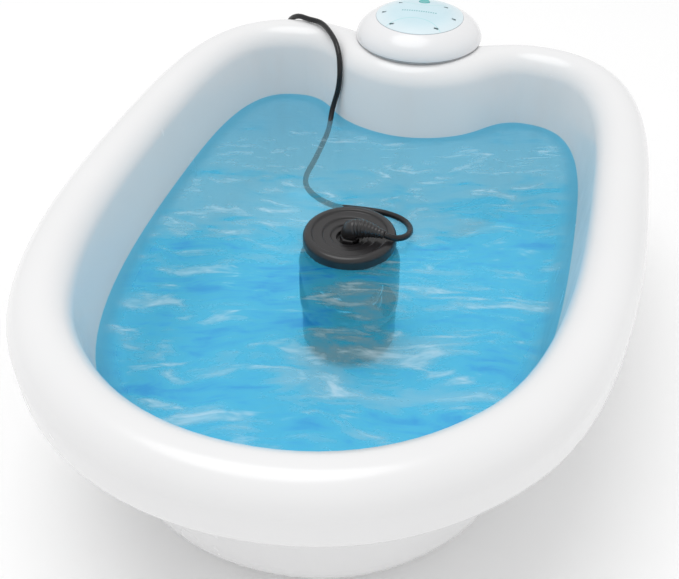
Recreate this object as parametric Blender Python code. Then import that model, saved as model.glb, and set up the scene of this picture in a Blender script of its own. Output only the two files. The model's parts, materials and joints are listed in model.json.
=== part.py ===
"""Foot spa basin: a double-walled tub with a rolled rim, a domed control unit on a shelf at its back,
a connector column under the dome, and an electrode array that stands in the tub on its own cord.

Metres, +Z up, +Y towards the dome. The origin is on the floor, at the middle of the tub and dome.
"""

import math

import bmesh
import bpy
from mathutils import Matrix, Vector

MM = 0.001
GAP = 0.3 * MM  # between pieces that touch or rest on each other
MERGE = 0.001 * MM

# Tub outline: the crest of the rolled rim, as seen from above
SIDE_HALF_WIDTH = 176 * MM
SIDE_Y = 47 * MM
FRONT_Y = -253 * MM
CORNER = (131 * MM, -189.5 * MM)
CORNER_ANGLE = math.radians(51.5)
LOBE = (96 * MM, 223 * MM)
NOTCH_Y = 191 * MM
FRONT_PULL, CORNER_PULLS = 58 * MM, (48 * MM, 68 * MM)
SIDE_PULLS = (81.5 * MM, 92 * MM)
LOBE_PULLS, NOTCH_PULL = (76 * MM, 29 * MM), 25 * MM
OUTLINE_STEPS = (4, 5, 8, 7)  # front, corner to side, side to lobe, lobe to notch
FOLD_INSET = 38 * MM  # further in than this, the outline shrinks towards the spine
SPINE = (-90 * MM, 70 * MM)  # Y of the spine's ends

# Tub section
RIM_TOP = 166.4 * MM
ROLL_RADIUS = 19 * MM
LIP_RADIUS = 9.5 * MM
LIP_CENTRE_Z = RIM_TOP - 33.4 * MM
WALL_ANGLE = math.atan(0.125)  # draft of both walls
LINER_WALL = 3 * MM
HIDDEN_STEPS = (3, 5, 2)  # of the fillet, the roll and the lip on the liner's hidden face
FLOOR_Z = 14 * MM
FLOOR_FILLET = 30 * MM
SHELL_WALL = 2.4 * MM
SHELL_TOP = LIP_CENTRE_Z - LIP_RADIUS - 2.5 * MM
SHELL_CORNER = 41.5 * MM
SHELF_DEPTH = 17 * MM  # how far the rim widens inwards under the dome
SHELF_SPREAD = 56 * MM

# Base
BASE_Z = 2.5 * MM  # underside of the shell and of the base plate
BASE_PLATE_INSET = 74.4 * MM
BASE_PLATE_THICK = 2.4 * MM
FLANGE_WIDTH = 18 * MM
RIB_WIDTH = 4 * MM
RIB_LENGTHS = (150 * MM, 180 * MM)
FOOT_RADIUS = 12 * MM
FOOT_HEIGHT = 2.2 * MM
FEET = {
    "front_left_foot": (-60 * MM, -112 * MM),
    "front_right_foot": (60 * MM, -112 * MM),
    "rear_left_foot": (-70 * MM, 78 * MM),
    "rear_right_foot": (70 * MM, 78 * MM),
}
BASE_SCREW_STATIONS = (OUTLINE_STEPS[0], sum(OUTLINE_STEPS[:3]) - 2)  # on the right, and mirrored
SCREW_RADIUS = 1.5 * MM
SCREW_HEAD = (3 * MM, 1.4 * MM)  # radius, height
SCREW_LENGTH = 8 * MM

# Dome
DOME_Y = 219 * MM
DOME_RADIUS = 53 * MM
DOME_HEIGHT = 22.5 * MM
DOME_WALL = 2.2 * MM
DOME_SIDE_POWER, DOME_TOP_POWER = 0.85, 1.05
SEAL_HEIGHT = 1 * MM
SEAL_WIDTH = 5.4 * MM
OVERLAY_RADIUS = 36.5 * MM
OVERLAY_RECESS = 0.5 * MM
OVERLAY_THICK = 0.4 * MM
TRAY_THICK = 2.2 * MM
TRAY_SLACK = 1.6 * MM  # inside the foot of the cap
TRAY_SLOT = (24 * MM, 14 * MM)
TRAY_SLOT_Y = 20 * MM
POST_HEIGHT = 3.5 * MM
POST_RADIUS = 3 * MM
POSTS = ((-30 * MM, 8 * MM), (30 * MM, 8 * MM), (0, -33 * MM))
BOARD_RADIUS = 38 * MM
BOARD_THICK = 1.6 * MM
BUTTON_OFFSET = 19.5 * MM
BUTTON_RADIUS = 4.5 * MM
BUTTON_PROUD = 0.9 * MM
BUTTON_ROUND = 0.8 * MM
BUTTON_TRAVEL = 1 * MM
BUTTON_FLANGE = (6.2 * MM, 1.2 * MM)  # radius, height
SWITCH_SIDE = 6 * MM
SWITCH_HEIGHT = 4 * MM
PLUNGER = (1.7 * MM, 1 * MM)
LIGHT_SIZE = (3 * MM, 1.4 * MM)
LIGHTS = ((19.5 * MM, 14 * MM), (29.5 * MM, -5 * MM), (18.5 * MM, -25.5 * MM))
BUZZER = (-18 * MM, 0, 6 * MM, 7 * MM)  # x, y, radius, height
DOME_SCREWS = {"dome_screw_left": (-26 * MM, -30 * MM), "dome_screw_right": (26 * MM, -30 * MM),
               "dome_screw_rear": (0, 38.5 * MM)}
SCREW_BOSS = (4.2 * MM, 16 * MM)

# Connector column under the dome
COLUMN_SETBACK = 2 * MM  # of its side inside the dome's edge, so that the seal lies on it
COLUMN_RADIUS = DOME_RADIUS - COLUMN_SETBACK
COLUMN_WALL = 2.5 * MM
COLUMN_BOTTOM = 30 * MM
COLUMN_BACK = 44 * MM  # from the dome's axis to the flat back
PANEL_SIZE = (44 * MM, 2 * MM, RIM_TOP - COLUMN_BOTTOM - 28.4 * MM)
PANEL_Z = (COLUMN_BOTTOM + RIM_TOP) / 2 - 6.2 * MM
PANEL_MARGINS = (3.5 * MM, 6 * MM)
PANEL_SCREW_INSET = 3.2 * MM
INLET_Z, ROCKER_Z, SOCKET_Z = PANEL_Z - 36 * MM, PANEL_Z - 4 * MM, PANEL_Z + 28 * MM
INLET_FLANGE = (30 * MM, 2 * MM, 23 * MM)
INLET_BODY = (26 * MM, 15 * MM, 19 * MM)
INLET_RECESS = (22 * MM, 12 * MM, 15 * MM)
INLET_BLADE = (1.4 * MM, 9 * MM, 4 * MM)
INLET_ROWS = (-1.5 * MM, 2.5 * MM)  # heights of the outer blades and of the middle one
BLADE_ROOT = 0.5 * MM  # of each blade sunk in the recess's floor
RECESS_CLEAR = 1 * MM  # that a recess's cutter stands out of the flange
ROCKER_FLANGE = (15 * MM, 2 * MM, 21 * MM)
ROCKER_BODY = (13.4 * MM, 14 * MM, 19.4 * MM)
ROCKER_RECESS = (11 * MM, 14 * MM, 17.2 * MM)
ROCKER_WIDTH = 10.2 * MM
ROCKER_SLACK, ROCKER_TAPER = 1.2 * MM, 1.4 * MM
ROCKER_DIP, ROCKER_BELOW = 1.3 * MM, 2.5 * MM
ROCKER_TILT = math.radians(7)
ROCKER_PIVOT = 4.2 * MM  # behind the panel's outer face
PIVOT_RADIUS = 1.2 * MM
SOCKET_FLANGE = (9 * MM, 1.8 * MM)
SOCKET_RADIUS, SOCKET_BORE = 7 * MM, 5.6 * MM
SOCKET_DEPTH, SOCKET_REACH = 12 * MM, 4 * MM
SUPPLY_BOARD = (60 * MM, 1.6 * MM, PANEL_SIZE[2] - 4 * MM)
SUPPLY_BOARD_Y = 14 * MM  # behind the dome's axis
TRANSFORMER = (20 * MM, 13 * MM, 26 * MM)
HEAT_SINK = (18 * MM, 13 * MM, 30 * MM)
HEAT_SINK_FINS = 4
SINK_BACK, FIN_THICK = 3 * MM, 1.6 * MM
SUPPLY_SPREAD = 24 * MM  # of the transformer and the heat sink, from the middle

# Electrode array
ARRAY_X, ARRAY_Y = -3 * MM, 0
ARRAY_WAIST_RADIUS = 33.6 * MM
ARRAY_FOOT_RADIUS = ARRAY_WAIST_RADIUS + 1.9 * MM
CAGE_RADIUS = ARRAY_WAIST_RADIUS + 3.4 * MM
CAP_RADIUS = ARRAY_WAIST_RADIUS - 0.1 * MM
ARRAY_WALL = 2.5 * MM
FOOT_TOP, CAGE_TOP, CAP_TOP = 46 * MM, 100.5 * MM, 116 * MM
FOOT_ROUND, CAP_ROUND = 9 * MM, 4 * MM
CAP_STEPS = ((27.5 * MM, 1.5 * MM), (20 * MM, 3 * MM), (14 * MM, 4.5 * MM))  # radius, depth
CAP_WELL = (9.5 * MM, 8 * MM)
WINDOW_COUNT = 6
WINDOW_SIZE = (17 * MM, 34 * MM)
WINDOW_SLANT = math.radians(32)
COIL_RADIUS, COIL_WIRE, COIL_TURNS, COIL_STEPS = 24 * MM, 1.6 * MM, 5, 14
COIL_BOTTOM, COIL_TOP = 27 * MM, 88 * MM
ROD_RADIUS = 3 * MM
ROD_BOTTOM, ROD_TOP = 24 * MM, 104 * MM
TERMINAL_THICK = 3 * MM
GLAND = (7.4 * MM, 4.2 * MM)  # radius over its corners, height
BOOT_ROUTE = (
    (0, 0, 0), (0, 0, 2.5), (3, -0.3, 6), (8, -0.9, 8), (13.5, -1.7, 8.6), (19.5, -2.4, 8.3), (25.5, -3, 7.4),
)  # in mm, over the gland
BOOT_RADIUS = 7 * MM
BOOT_TAPER = (0.8, 1, 1, 0.95, 0.78, 0.6, 0.45)

# Cord
CORD_RADIUS = 2.25 * MM
CORD_STEP = 11 * MM
PLUG_RADIUS, PLUG_LENGTH = 9 * MM, 12 * MM
PLUG_OUTLET = (5 * MM, 15 * MM)
RELIEF_LENGTH = 16 * MM
CORD_JOIN = (-99.4, 223.8, 169.2)  # on the crest, in mm like the routes below
INNER_ROUTE = (
    (31, -3, 118.6), (36.5, 3.5, 116.5), (38, 13, 114.3), (35, 23, 112.5), (27.5, 31.5, 111),
    (15, 37.5, 109.5), (0.5, 39.6, 108.3), (-13, 40.5, 107), (-25, 43.5, 104.5), (-40, 54.5, 100.5),
    (-52, 66.5, 98), (-59.5, 78, 97), (-61.7, 89, 99), (-60.5, 106, 101.5), (-60.8, 132, 102.5),
    (-61.5, 152, 104), (-63, 164.5, 107), (-62.8, 170, 114), (-60.8, 172.4, 123), (-58.6, 172.9, 132),
    (-57.4, 173.2, 141), (-57.5, 174.8, 149.5), (-59.8, 181, 159.3), (-65.5, 191.5, 165.6),
    (-75, 205, 168.8), (-86, 217.5, 169.8),
)
OUTER_ROUTE = (
    (-109, 228.8, 168.5), (-117.2, 235, 163.6), (-122.9, 240.4, 156), (-125.8, 243.6, 145),
    (-126.5, 245.5, 131), (-125, 246.5, 112), (-121, 248, 92), (-114.5, 250, 72), (-105, 253, 54),
    (-92.5, 257, 41), (-78, 262, 34.5), (-63, 267, 36), (-50, 272, 45), (-41, 276, 59),
    (-34.5, 277.5, 75), (-29, 277.7, 88.5),
)


def clear_scene():
    for obj in list(bpy.data.objects):
        bpy.data.objects.remove(obj, do_unlink=True)


def make_material(name, colour, roughness, metallic=0.0, alpha=1.0):
    material = bpy.data.materials.new(name)
    material.use_nodes = True
    shader = material.node_tree.nodes["Principled BSDF"]
    shader.inputs["Base Color"].default_value = (*colour, 1)
    shader.inputs["Roughness"].default_value = roughness
    shader.inputs["Metallic"].default_value = metallic
    shader.inputs["Alpha"].default_value = alpha
    return material


def link(name, data, material, parent=None, at=(0, 0, 0), turn=(0, 0, 0)):
    obj = bpy.data.objects.new(name, data)
    bpy.context.scene.collection.objects.link(obj)
    obj.location, obj.rotation_euler, obj.parent = at, turn, parent
    if material:
        data.materials.append(material)
    return obj


def empty(name, at=(0, 0, 0), parent=None):
    return link(name, None, None, parent, at)


# Meshes

def to_mesh(name, shape, sharp=30):
    bmesh.ops.recalc_face_normals(shape, faces=shape.faces)
    mesh = bpy.data.meshes.new(name)
    shape.to_mesh(mesh)
    shape.free()
    mesh.shade_smooth()
    mesh.set_sharp_from_angle(angle=math.radians(sharp))
    return mesh


def skin(name, loops, closed=False):
    """Joins loops of equally many points with faces, end to end, or as a closed tube."""
    shape = bmesh.new()
    rings = [[shape.verts.new(point) for point in loop] for loop in loops]
    pairs = list(zip(rings, rings[1:] + rings[:1]))
    for one, two in pairs if closed else pairs[:-1]:
        for i in range(len(one)):
            shape.faces.new((one[i - 1], one[i], two[i], two[i - 1]))
    if not closed:
        shape.faces.new(rings[0])
        shape.faces.new(rings[-1])
    return to_mesh(name, shape)


def turned(name, profile, steps, closed=False):
    """A profile of (radius, z) turned about Z: a ring if closed, or else a solid from axis to axis."""
    shape = bmesh.new()
    points = [shape.verts.new((r, 0, z)) for r, z in profile]
    edges = [shape.edges.new(pair) for pair in zip(points, points[1:])]
    if closed:
        edges.append(shape.edges.new((points[-1], points[0])))
    around = {"cent": (0, 0, 0), "axis": (0, 0, 1), "angle": 2 * math.pi, "steps": steps}
    bmesh.ops.spin(shape, geom=points + edges, use_merge=True, **around)
    bmesh.ops.remove_doubles(shape, verts=shape.verts, dist=MERGE)
    return to_mesh(name, shape)


def disc(name, radius, low, high, steps=24):
    return turned(name, ((0, low), (radius, low), (radius, high), (0, high)), steps)


def box(name, size, centre=(0, 0, 0), round_edges=0.0, axis=None):
    """A box; round_edges rounds the edges along one axis, or all of them."""
    shape = bmesh.new()
    bmesh.ops.create_cube(shape, size=1)
    bmesh.ops.scale(shape, vec=size, verts=shape.verts)
    if round_edges:
        edges = [e for e in shape.edges if axis is None or abs((e.verts[0].co - e.verts[1].co)[axis]) > 1e-9]
        bmesh.ops.bevel(shape, geom=edges, offset=round_edges, segments=2, profile=0.5, affect="EDGES")
    bmesh.ops.translate(shape, vec=centre, verts=shape.verts)
    return to_mesh(name, shape)


def arc(centre, radius, start, end, count):
    angles = [math.radians(start + (end - start) * i / count) for i in range(count + 1)]
    return [(centre[0] + radius * math.cos(a), centre[1] + radius * math.sin(a)) for a in angles]


def combine(obj, operation, *others):
    """Cuts with helpers or joins them; each is hidden from the render."""
    for other in others:
        other.hide_render = True
        other.display_type = "WIRE"
        modifier = obj.modifiers.new(operation.title(), "BOOLEAN")
        modifier.operation, modifier.solver, modifier.object = operation, "EXACT", other


# Tub outline

def bezier(a, b, c, d, steps):
    points = []
    for i in range(steps):
        t = i / steps
        points.append(a * (1 - t) ** 3 + b * 3 * t * (1 - t) ** 2 + c * 3 * t * t * (1 - t) + d * t ** 3)
    return points


def rim_stations():
    """(crest point, inward normal, shelf width) all round the rim, from the front, right side first."""
    front, corner = Vector((0, FRONT_Y)), Vector(CORNER)
    side, lobe, notch = Vector((SIDE_HALF_WIDTH, SIDE_Y)), Vector(LOBE), Vector((0, NOTCH_Y))
    along = Vector((math.cos(CORNER_ANGLE), math.sin(CORNER_ANGLE)))
    x, y = Vector((1, 0)), Vector((0, 1))
    handles = (
        (front, front + x * FRONT_PULL, corner - along * CORNER_PULLS[0], corner),
        (corner, corner + along * CORNER_PULLS[1], side - y * SIDE_PULLS[0], side),
        (side, side + y * SIDE_PULLS[1], lobe + x * LOBE_PULLS[0], lobe),
        (lobe, lobe - x * LOBE_PULLS[1], notch + x * NOTCH_PULL, notch),
    )
    half = [p for points, steps in zip(handles, OUTLINE_STEPS) for p in bezier(*points, steps)]
    crest = half + [notch] + [Vector((-p.x, p.y)) for p in reversed(half[1:])]
    stations = []
    for i, point in enumerate(crest):
        tangent = (crest[(i + 1) % len(crest)] - crest[i - 1]).normalized()
        shelf = SHELF_DEPTH * math.exp(-((point.x / SHELF_SPREAD) ** 4)) if point.y > 0 else 0
        stations.append((point, Vector((-tangent.y, tangent.x)), shelf))
    return stations


STATIONS = rim_stations()


def outline_at(station, inset, shelved=False):
    """A point inside the crest line: square to it at first, then towards the tub's spine."""
    point, normal, shelf = STATIONS[station]
    edge = point + normal * (min(inset, FOLD_INSET) + (shelf if shelved else 0))
    if inset <= FOLD_INSET:
        return edge
    spine = Vector((0, min(max(edge.y, SPINE[0]), SPINE[1])))
    return edge + (spine - edge).normalized() * (inset - FOLD_INSET)


def outline_loop(inset, z, shelved=False):
    """The crest line moved inwards; shelved adds the shelf under the dome."""
    return [(*outline_at(i, inset, shelved), z) for i in range(len(STATIONS))]


# Tub

def liner_profile(skin_depth, steps=(4, 9, 3)):
    """(inset, z) from the floor's edge up the wall, over the rolled rim and down to the lip."""
    roll = (0, RIM_TOP - ROLL_RADIUS)
    cosine, sine = math.cos(WALL_ANGLE), math.sin(WALL_ANGLE)
    wall_top = (roll[0] + ROLL_RADIUS * cosine, roll[1] + ROLL_RADIUS * sine)
    down = (wall_top[1] + FLOOR_FILLET * sine - FLOOR_Z - FLOOR_FILLET) / cosine
    fillet = (wall_top[0] + down * sine + FLOOR_FILLET * cosine, FLOOR_Z + FLOOR_FILLET)
    draft = math.degrees(WALL_ANGLE)
    lip = (LIP_RADIUS - ROLL_RADIUS, LIP_CENTRE_Z)
    return (
        arc(fillet, FLOOR_FILLET + skin_depth, 270, 180 + draft, steps[0])
        + arc(roll, ROLL_RADIUS - skin_depth, draft, 180, steps[1])
        + arc(lip, LIP_RADIUS - skin_depth, 180, 270, steps[2])
    )


def make_liner(material, parent):
    inner, hidden = liner_profile(0), liner_profile(LINER_WALL, HIDDEN_STEPS)
    loops = []
    for side in (inner, reversed(hidden)):
        loops += [outline_loop(inset, z, inset > 0) for inset, z in side]
    liner = link("liner", skin("liner", loops), material, parent)
    low, high = RIM_TOP - 2 * LINER_WALL, RIM_TOP + LINER_WALL
    for name, (x, y) in DOME_SCREWS.items():
        if y < 0:
            hole = disc(name + "_rim_hole", SCREW_RADIUS + GAP, low, high, 12)
            combine(liner, "DIFFERENCE", link(hole.name, hole, None, parent, (x, DOME_Y + y, 0)))
    return liner


def make_outer_shell(material, parent):
    draft, slope = math.degrees(WALL_ANGLE), math.tan(WALL_ANGLE)
    liner_wall = liner_profile(LINER_WALL, HIDDEN_STEPS)[HIDDEN_STEPS[0]]  # where its hidden fillet ends
    corner_z = BASE_Z + SHELL_CORNER
    foot = liner_wall[0] + slope * (liner_wall[1] - corner_z) - (GAP + SHELL_WALL) / math.cos(WALL_ANGLE)
    centre = (foot + SHELL_CORNER / math.cos(WALL_ANGLE), corner_z)
    edge = BASE_PLATE_INSET - GAP
    step_z = BASE_Z + BASE_PLATE_THICK + GAP

    def wall(depth):
        corner = arc(centre, SHELL_CORNER - depth, 180 + draft, 270, 5)
        return [(corner[0][0] - slope * (SHELL_TOP - corner[0][1]), SHELL_TOP)] + corner

    flange = edge + FLANGE_WIDTH
    outer = wall(0) + [(edge, BASE_Z), (edge, step_z), (flange, step_z)]
    inner = wall(SHELL_WALL) + [(edge - SHELL_WALL, BASE_Z + SHELL_WALL)]
    inner += [(edge - SHELL_WALL, step_z + SHELL_WALL), (flange, step_z + SHELL_WALL)]
    loops = [outline_loop(inset, z) for inset, z in outer + inner[::-1]]
    return link("outer_shell", skin("outer_shell", loops, True), material, parent)


def make_base(plastic, rubber, steel, shell, parent):
    top = BASE_Z + BASE_PLATE_THICK
    loops = [outline_loop(BASE_PLATE_INSET, z) for z in (BASE_Z, top)]
    plate = link("base_plate", skin("base_plate", loops), plastic, parent)
    rib_low, rib_high = BASE_Z + BASE_PLATE_THICK / 2, FLOOR_Z - LINER_WALL - GAP
    for i, size in enumerate(((RIB_LENGTHS[0], RIB_WIDTH), (RIB_WIDTH, RIB_LENGTHS[1]))):
        rib = box(f"base_rib_{i}", (*size, rib_high - rib_low), (0, 0, (rib_low + rib_high) / 2))
        combine(plate, "UNION", link(rib.name, rib, None, parent))
    for name, (x, y) in FEET.items():
        profile = ((0, 0), (FOOT_RADIUS - 1 * MM, 0), (FOOT_RADIUS, 1 * MM), (FOOT_RADIUS, FOOT_HEIGHT),
                   (0, FOOT_HEIGHT))
        link(name, turned(name, profile, 24), rubber, parent, (x, y, 0))
    stations = [side * station for station in BASE_SCREW_STATIONS for side in (1, -1)]
    for i, station in enumerate(stations, 1):
        name = f"base_screw_{i}"
        spot = outline_at(station, BASE_PLATE_INSET + FLANGE_WIDTH / 2)
        hole = disc(name + "_hole", SCREW_RADIUS + GAP, 0, SCREW_LENGTH + FOOT_HEIGHT, 12)
        cutter = link(hole.name, hole, None, parent, (*spot, 0))
        combine(plate, "DIFFERENCE", cutter)
        combine(shell, "DIFFERENCE", cutter)
        make_screw(name, steel, parent, (*spot, BASE_Z - GAP), (math.pi, 0, 0))


def make_screw(name, material, parent, at, turn=(0, 0, 0), length=SCREW_LENGTH):
    """A pan-head screw whose head stands on the given point, with its shank along local -Z."""
    head, height = SCREW_HEAD
    profile = (
        (0, -length), (SCREW_RADIUS, SCREW_RADIUS - length), (SCREW_RADIUS, 0), (head, 0),
        (head, height * 0.5), (head * 0.7, height), (0, height),
    )
    return link(name, turned(name, profile, 8), material, parent, at, turn)


# Dome

def dome_height(radius, depth=0.0):
    """Height of the dome's surface over its rim at a radius, depth under the outer face."""
    share = min(1, radius / (DOME_RADIUS - depth))
    side = math.acos(share ** (1 / DOME_SIDE_POWER))
    return (DOME_HEIGHT - depth) * math.sin(side) ** DOME_TOP_POWER


def dome_face(depth, count):
    """(radius, height) from the dome's top out to its rim, on a face that lies depth under the outer one."""
    angles = [math.pi / 2 * i / count for i in range(count, -1, -1)]
    radii = [(DOME_RADIUS - depth) * math.cos(a) ** DOME_SIDE_POWER for a in angles]
    return [(r if r > MERGE else 0, dome_height(r, depth)) for r in radii]


def make_dome_cap(material, parent):
    edge = OVERLAY_RADIUS + GAP
    recess = [(edge * share, dome_height(edge * share) - OVERLAY_RECESS) for share in (0, 0.35, 0.7, 1)]
    outer = recess + [(edge, dome_height(edge))] + [p for p in dome_face(0, 9) if p[0] > edge + 1 * MM]
    profile = outer + dome_face(DOME_WALL, 6)[::-1]
    return link("dome_cap", turned("dome_cap", profile, 28), material, parent)


def make_overlay(material, parent):
    low = [(OVERLAY_RADIUS * share, dome_height(OVERLAY_RADIUS * share) - OVERLAY_RECESS + GAP)
           for share in (0, 0.35, 0.7, 1)]
    high = [(r, z + OVERLAY_THICK) for r, z in low]
    return link("panel_overlay", turned("panel_overlay", low + high[::-1], 24), material, parent)


def make_dome(plastic, seal_rubber, film, teal, lens, board_green, black, steel, dome, button):
    """The dome stands on its seal; heights are over the underside of the cap."""
    inner = DOME_RADIUS - 0.6 * MM
    seal = ((inner - SEAL_WIDTH, -SEAL_HEIGHT - GAP), (inner, -SEAL_HEIGHT - GAP), (inner, -GAP),
            (inner - SEAL_WIDTH, -GAP))
    link("dome_seal", turned("dome_seal", seal, 32, True), seal_rubber, dome)
    cap = make_dome_cap(plastic, dome)
    overlay = make_overlay(film, dome)

    tray_radius = DOME_RADIUS - DOME_WALL - TRAY_SLACK
    tray = link("dome_tray", disc("dome_tray", tray_radius, 0, TRAY_THICK, 32), plastic, dome)
    slot = box("tray_slot", (*TRAY_SLOT, 4 * TRAY_THICK), (0, TRAY_SLOT_Y, 0), 3 * MM, 2)
    combine(tray, "DIFFERENCE", link("tray_slot", slot, None, dome))
    post_top = TRAY_THICK + POST_HEIGHT
    for i, (x, y) in enumerate(POSTS):
        post = disc(f"tray_post_{i}", POST_RADIUS, TRAY_THICK / 2, post_top, 12)
        combine(tray, "UNION", link(post.name, post, None, dome, (x, y, 0)))
    for name, (x, y) in DOME_SCREWS.items():
        hole = disc(name + "_tray_hole", SCREW_RADIUS + GAP, -TRAY_THICK, 2 * TRAY_THICK, 12)
        combine(tray, "DIFFERENCE", link(hole.name, hole, None, dome, (x, y, 0)))
        make_screw(name, steel, dome, (x, y, TRAY_THICK + GAP))

    board_z = post_top + GAP
    board_top = board_z + BOARD_THICK
    link("control_board", disc("control_board", BOARD_RADIUS, board_z, board_top), board_green, dome)
    x, y, radius, height = BUZZER
    link("buzzer", disc("buzzer", radius, 0, height, 16), black, dome, (x, y, board_top + GAP))

    # Push button, on its own body, over a switch on the board
    switch_z = board_top + GAP
    size = (SWITCH_SIDE, SWITCH_SIDE, SWITCH_HEIGHT)
    body = box("button_switch", size, (0, 0, SWITCH_HEIGHT / 2), 0.6 * MM, 2)
    switch = link("button_switch", body, black, dome, (0, BUTTON_OFFSET, switch_z))
    plunger = disc("switch_plunger", PLUNGER[0], SWITCH_HEIGHT / 2, SWITCH_HEIGHT + PLUNGER[1], 12)
    combine(switch, "UNION", link(plunger.name, plunger, None, dome, (0, BUTTON_OFFSET, switch_z)))
    bottom = switch_z + SWITCH_HEIGHT + PLUNGER[1] + BUTTON_TRAVEL + GAP
    top = dome_height(BUTTON_OFFSET) + BUTTON_PROUD
    flange_top = dome_height(BUTTON_OFFSET + BUTTON_FLANGE[0], DOME_WALL) - 2 * GAP
    profile = (
        (0, bottom), (PLUNGER[0], bottom), (PLUNGER[0] + 1 * MM, flange_top - BUTTON_FLANGE[1]),
        (BUTTON_FLANGE[0], flange_top - BUTTON_FLANGE[1]), (BUTTON_FLANGE[0], flange_top),
        (BUTTON_RADIUS, flange_top), (BUTTON_RADIUS, top - BUTTON_ROUND), (BUTTON_RADIUS - BUTTON_ROUND, top),
        (0, top + 0.2 * MM),
    )
    link("power_button", turned("power_button", profile, 20), teal, button)
    hole = disc("button_hole", BUTTON_RADIUS + GAP, bottom, top + 4 * MM, 20)
    cutters = [link(hole.name, hole, None, dome, (0, BUTTON_OFFSET, 0))]

    # Indicator light pipes, from the board through the cap and the overlay
    spots = [(side * x, y) for x, y in LIGHTS for side in (-1, 1)]
    for i, (x, y) in enumerate(spots, 1):
        low, high = board_top + GAP, dome_height(math.hypot(x, y)) + 0.3 * MM
        pipe = box(f"light_{i}", (*LIGHT_SIZE, high - low), (0, 0, (low + high) / 2), 0.5 * MM, 2)
        link(f"light_{i}", pipe, lens, dome, (x, y, 0))
        opening = [side + 2 * GAP for side in LIGHT_SIZE]
        hole = box(f"light_hole_{i}", (*opening, high - low), (0, 0, (low + high) / 2 + 3 * MM))
        cutters.append(link(hole.name, hole, None, dome, (x, y, 0)))
    combine(cap, "DIFFERENCE", *cutters)
    combine(overlay, "DIFFERENCE", *cutters)


# Connector column

def column_solid(name, wall, low, high, parent):
    """The column's outline, a round back cut flat behind and hollowed to the rim in front, less a wall."""
    column = link(name, disc(name, COLUMN_RADIUS - wall, low, high, 40), None, parent, (0, DOME_Y, 0))
    deep = COLUMN_RADIUS
    behind = box(name + "_flat", (4 * deep, 2 * deep, 1), (0, DOME_Y + COLUMN_BACK - wall + deep, 0))
    reach = ROLL_RADIUS + 2 * GAP + wall
    rim = skin(name + "_rim", [outline_loop(-reach, z) for z in (low - deep, high + deep)])
    combine(column, "DIFFERENCE", link(behind.name, behind, None, parent), link(rim.name, rim, None, parent))
    return column


def make_column(plastic, parent):
    column = column_solid("rear_column", 0, COLUMN_BOTTOM, RIM_TOP, parent)
    column.data.materials.append(plastic)
    low, high = COLUMN_BOTTOM + COLUMN_WALL, RIM_TOP + COLUMN_WALL
    hollow = column_solid("column_hollow", COLUMN_WALL, low, high, parent)
    combine(column, "DIFFERENCE", hollow)
    back = DOME_Y + COLUMN_BACK
    x, y = DOME_SCREWS["dome_screw_rear"]
    radius, depth = SCREW_BOSS
    boss = disc("column_boss", radius, RIM_TOP - depth, RIM_TOP, 16)
    hole = disc("column_boss_hole", SCREW_RADIUS + GAP, RIM_TOP - depth + 2 * MM, RIM_TOP + 2 * MM, 12)
    combine(column, "UNION", link(boss.name, boss, None, parent, (x, DOME_Y + y, 0)))
    combine(column, "DIFFERENCE", link(hole.name, hole, None, parent, (x, DOME_Y + y, 0)))
    size = (PANEL_SIZE[0] - 2 * PANEL_MARGINS[0], 4 * COLUMN_WALL, PANEL_SIZE[2] - 2 * PANEL_MARGINS[1])
    opening = box("panel_opening", size, (0, back, PANEL_Z), 3 * MM, 1)
    combine(column, "DIFFERENCE", link(opening.name, opening, None, parent))
    return column


def make_panel(plastic, steel, column, parent):
    """The connector panel; its fittings pass through it along Y. Returns the panel and its outer face's Y."""
    back = DOME_Y + COLUMN_BACK + GAP
    face = back + PANEL_SIZE[1]
    panel = box("connector_panel", PANEL_SIZE, (0, (back + face) / 2, PANEL_Z), 4 * MM, 1)
    panel = link("connector_panel", panel, plastic, parent)
    for i, side in enumerate((-1, 1), 1):
        z = PANEL_Z + side * (PANEL_SIZE[2] / 2 - PANEL_SCREW_INSET)
        hole = disc(f"panel_screw_hole_{i}", SCREW_RADIUS + GAP, -SCREW_LENGTH, SCREW_LENGTH, 12)
        cutter = link(hole.name, hole, None, parent, (0, face, z), (math.pi / 2, 0, 0))
        combine(panel, "DIFFERENCE", cutter)
        combine(column, "DIFFERENCE", cutter)
        make_screw(f"panel_screw_{i}", steel, parent, (0, face + GAP, z), (-math.pi / 2, 0, 0))
    return panel, face


def through_panel(panel, name, shape, at):
    combine(panel, "DIFFERENCE", link(name, shape, None, panel.parent, at))


def make_inlet(black, steel, panel, face):
    flange, body, recess = INLET_FLANGE, INLET_BODY, INLET_RECESS
    at, parent = (0, face + GAP, INLET_Z), panel.parent
    inlet = box("mains_inlet", flange, (0, flange[1] / 2, 0), 2 * MM, 1)
    inlet = link("mains_inlet", inlet, black, parent, at)
    helpers = (
        ("inlet_body", "UNION", body, flange[1] / 2 - body[1] / 2),
        ("inlet_recess", "DIFFERENCE", recess, flange[1] + RECESS_CLEAR - recess[1] / 2),
    )
    for name, operation, size, y in helpers:
        combine(inlet, operation, link(name, box(name, size, (0, y, 0), 2 * MM, 1), None, parent, at))
    spacing = recess[0] / 3
    blade_y = flange[1] + RECESS_CLEAR - recess[1] + INLET_BLADE[1] / 2 - BLADE_ROOT
    for i, (x, z) in enumerate(((-spacing, INLET_ROWS[0]), (0, INLET_ROWS[1]), (spacing, INLET_ROWS[0]))):
        blade = box(f"inlet_blade_{i}", INLET_BLADE, (x, blade_y, z))
        combine(inlet, "UNION", link(blade.name, blade, None, parent, at))
    opening = (body[0] + 2 * GAP, 6 * PANEL_SIZE[1], body[2] + 2 * GAP)
    through_panel(panel, "inlet_opening", box("inlet_opening", opening, round_edges=2 * MM, axis=1), at)


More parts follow.
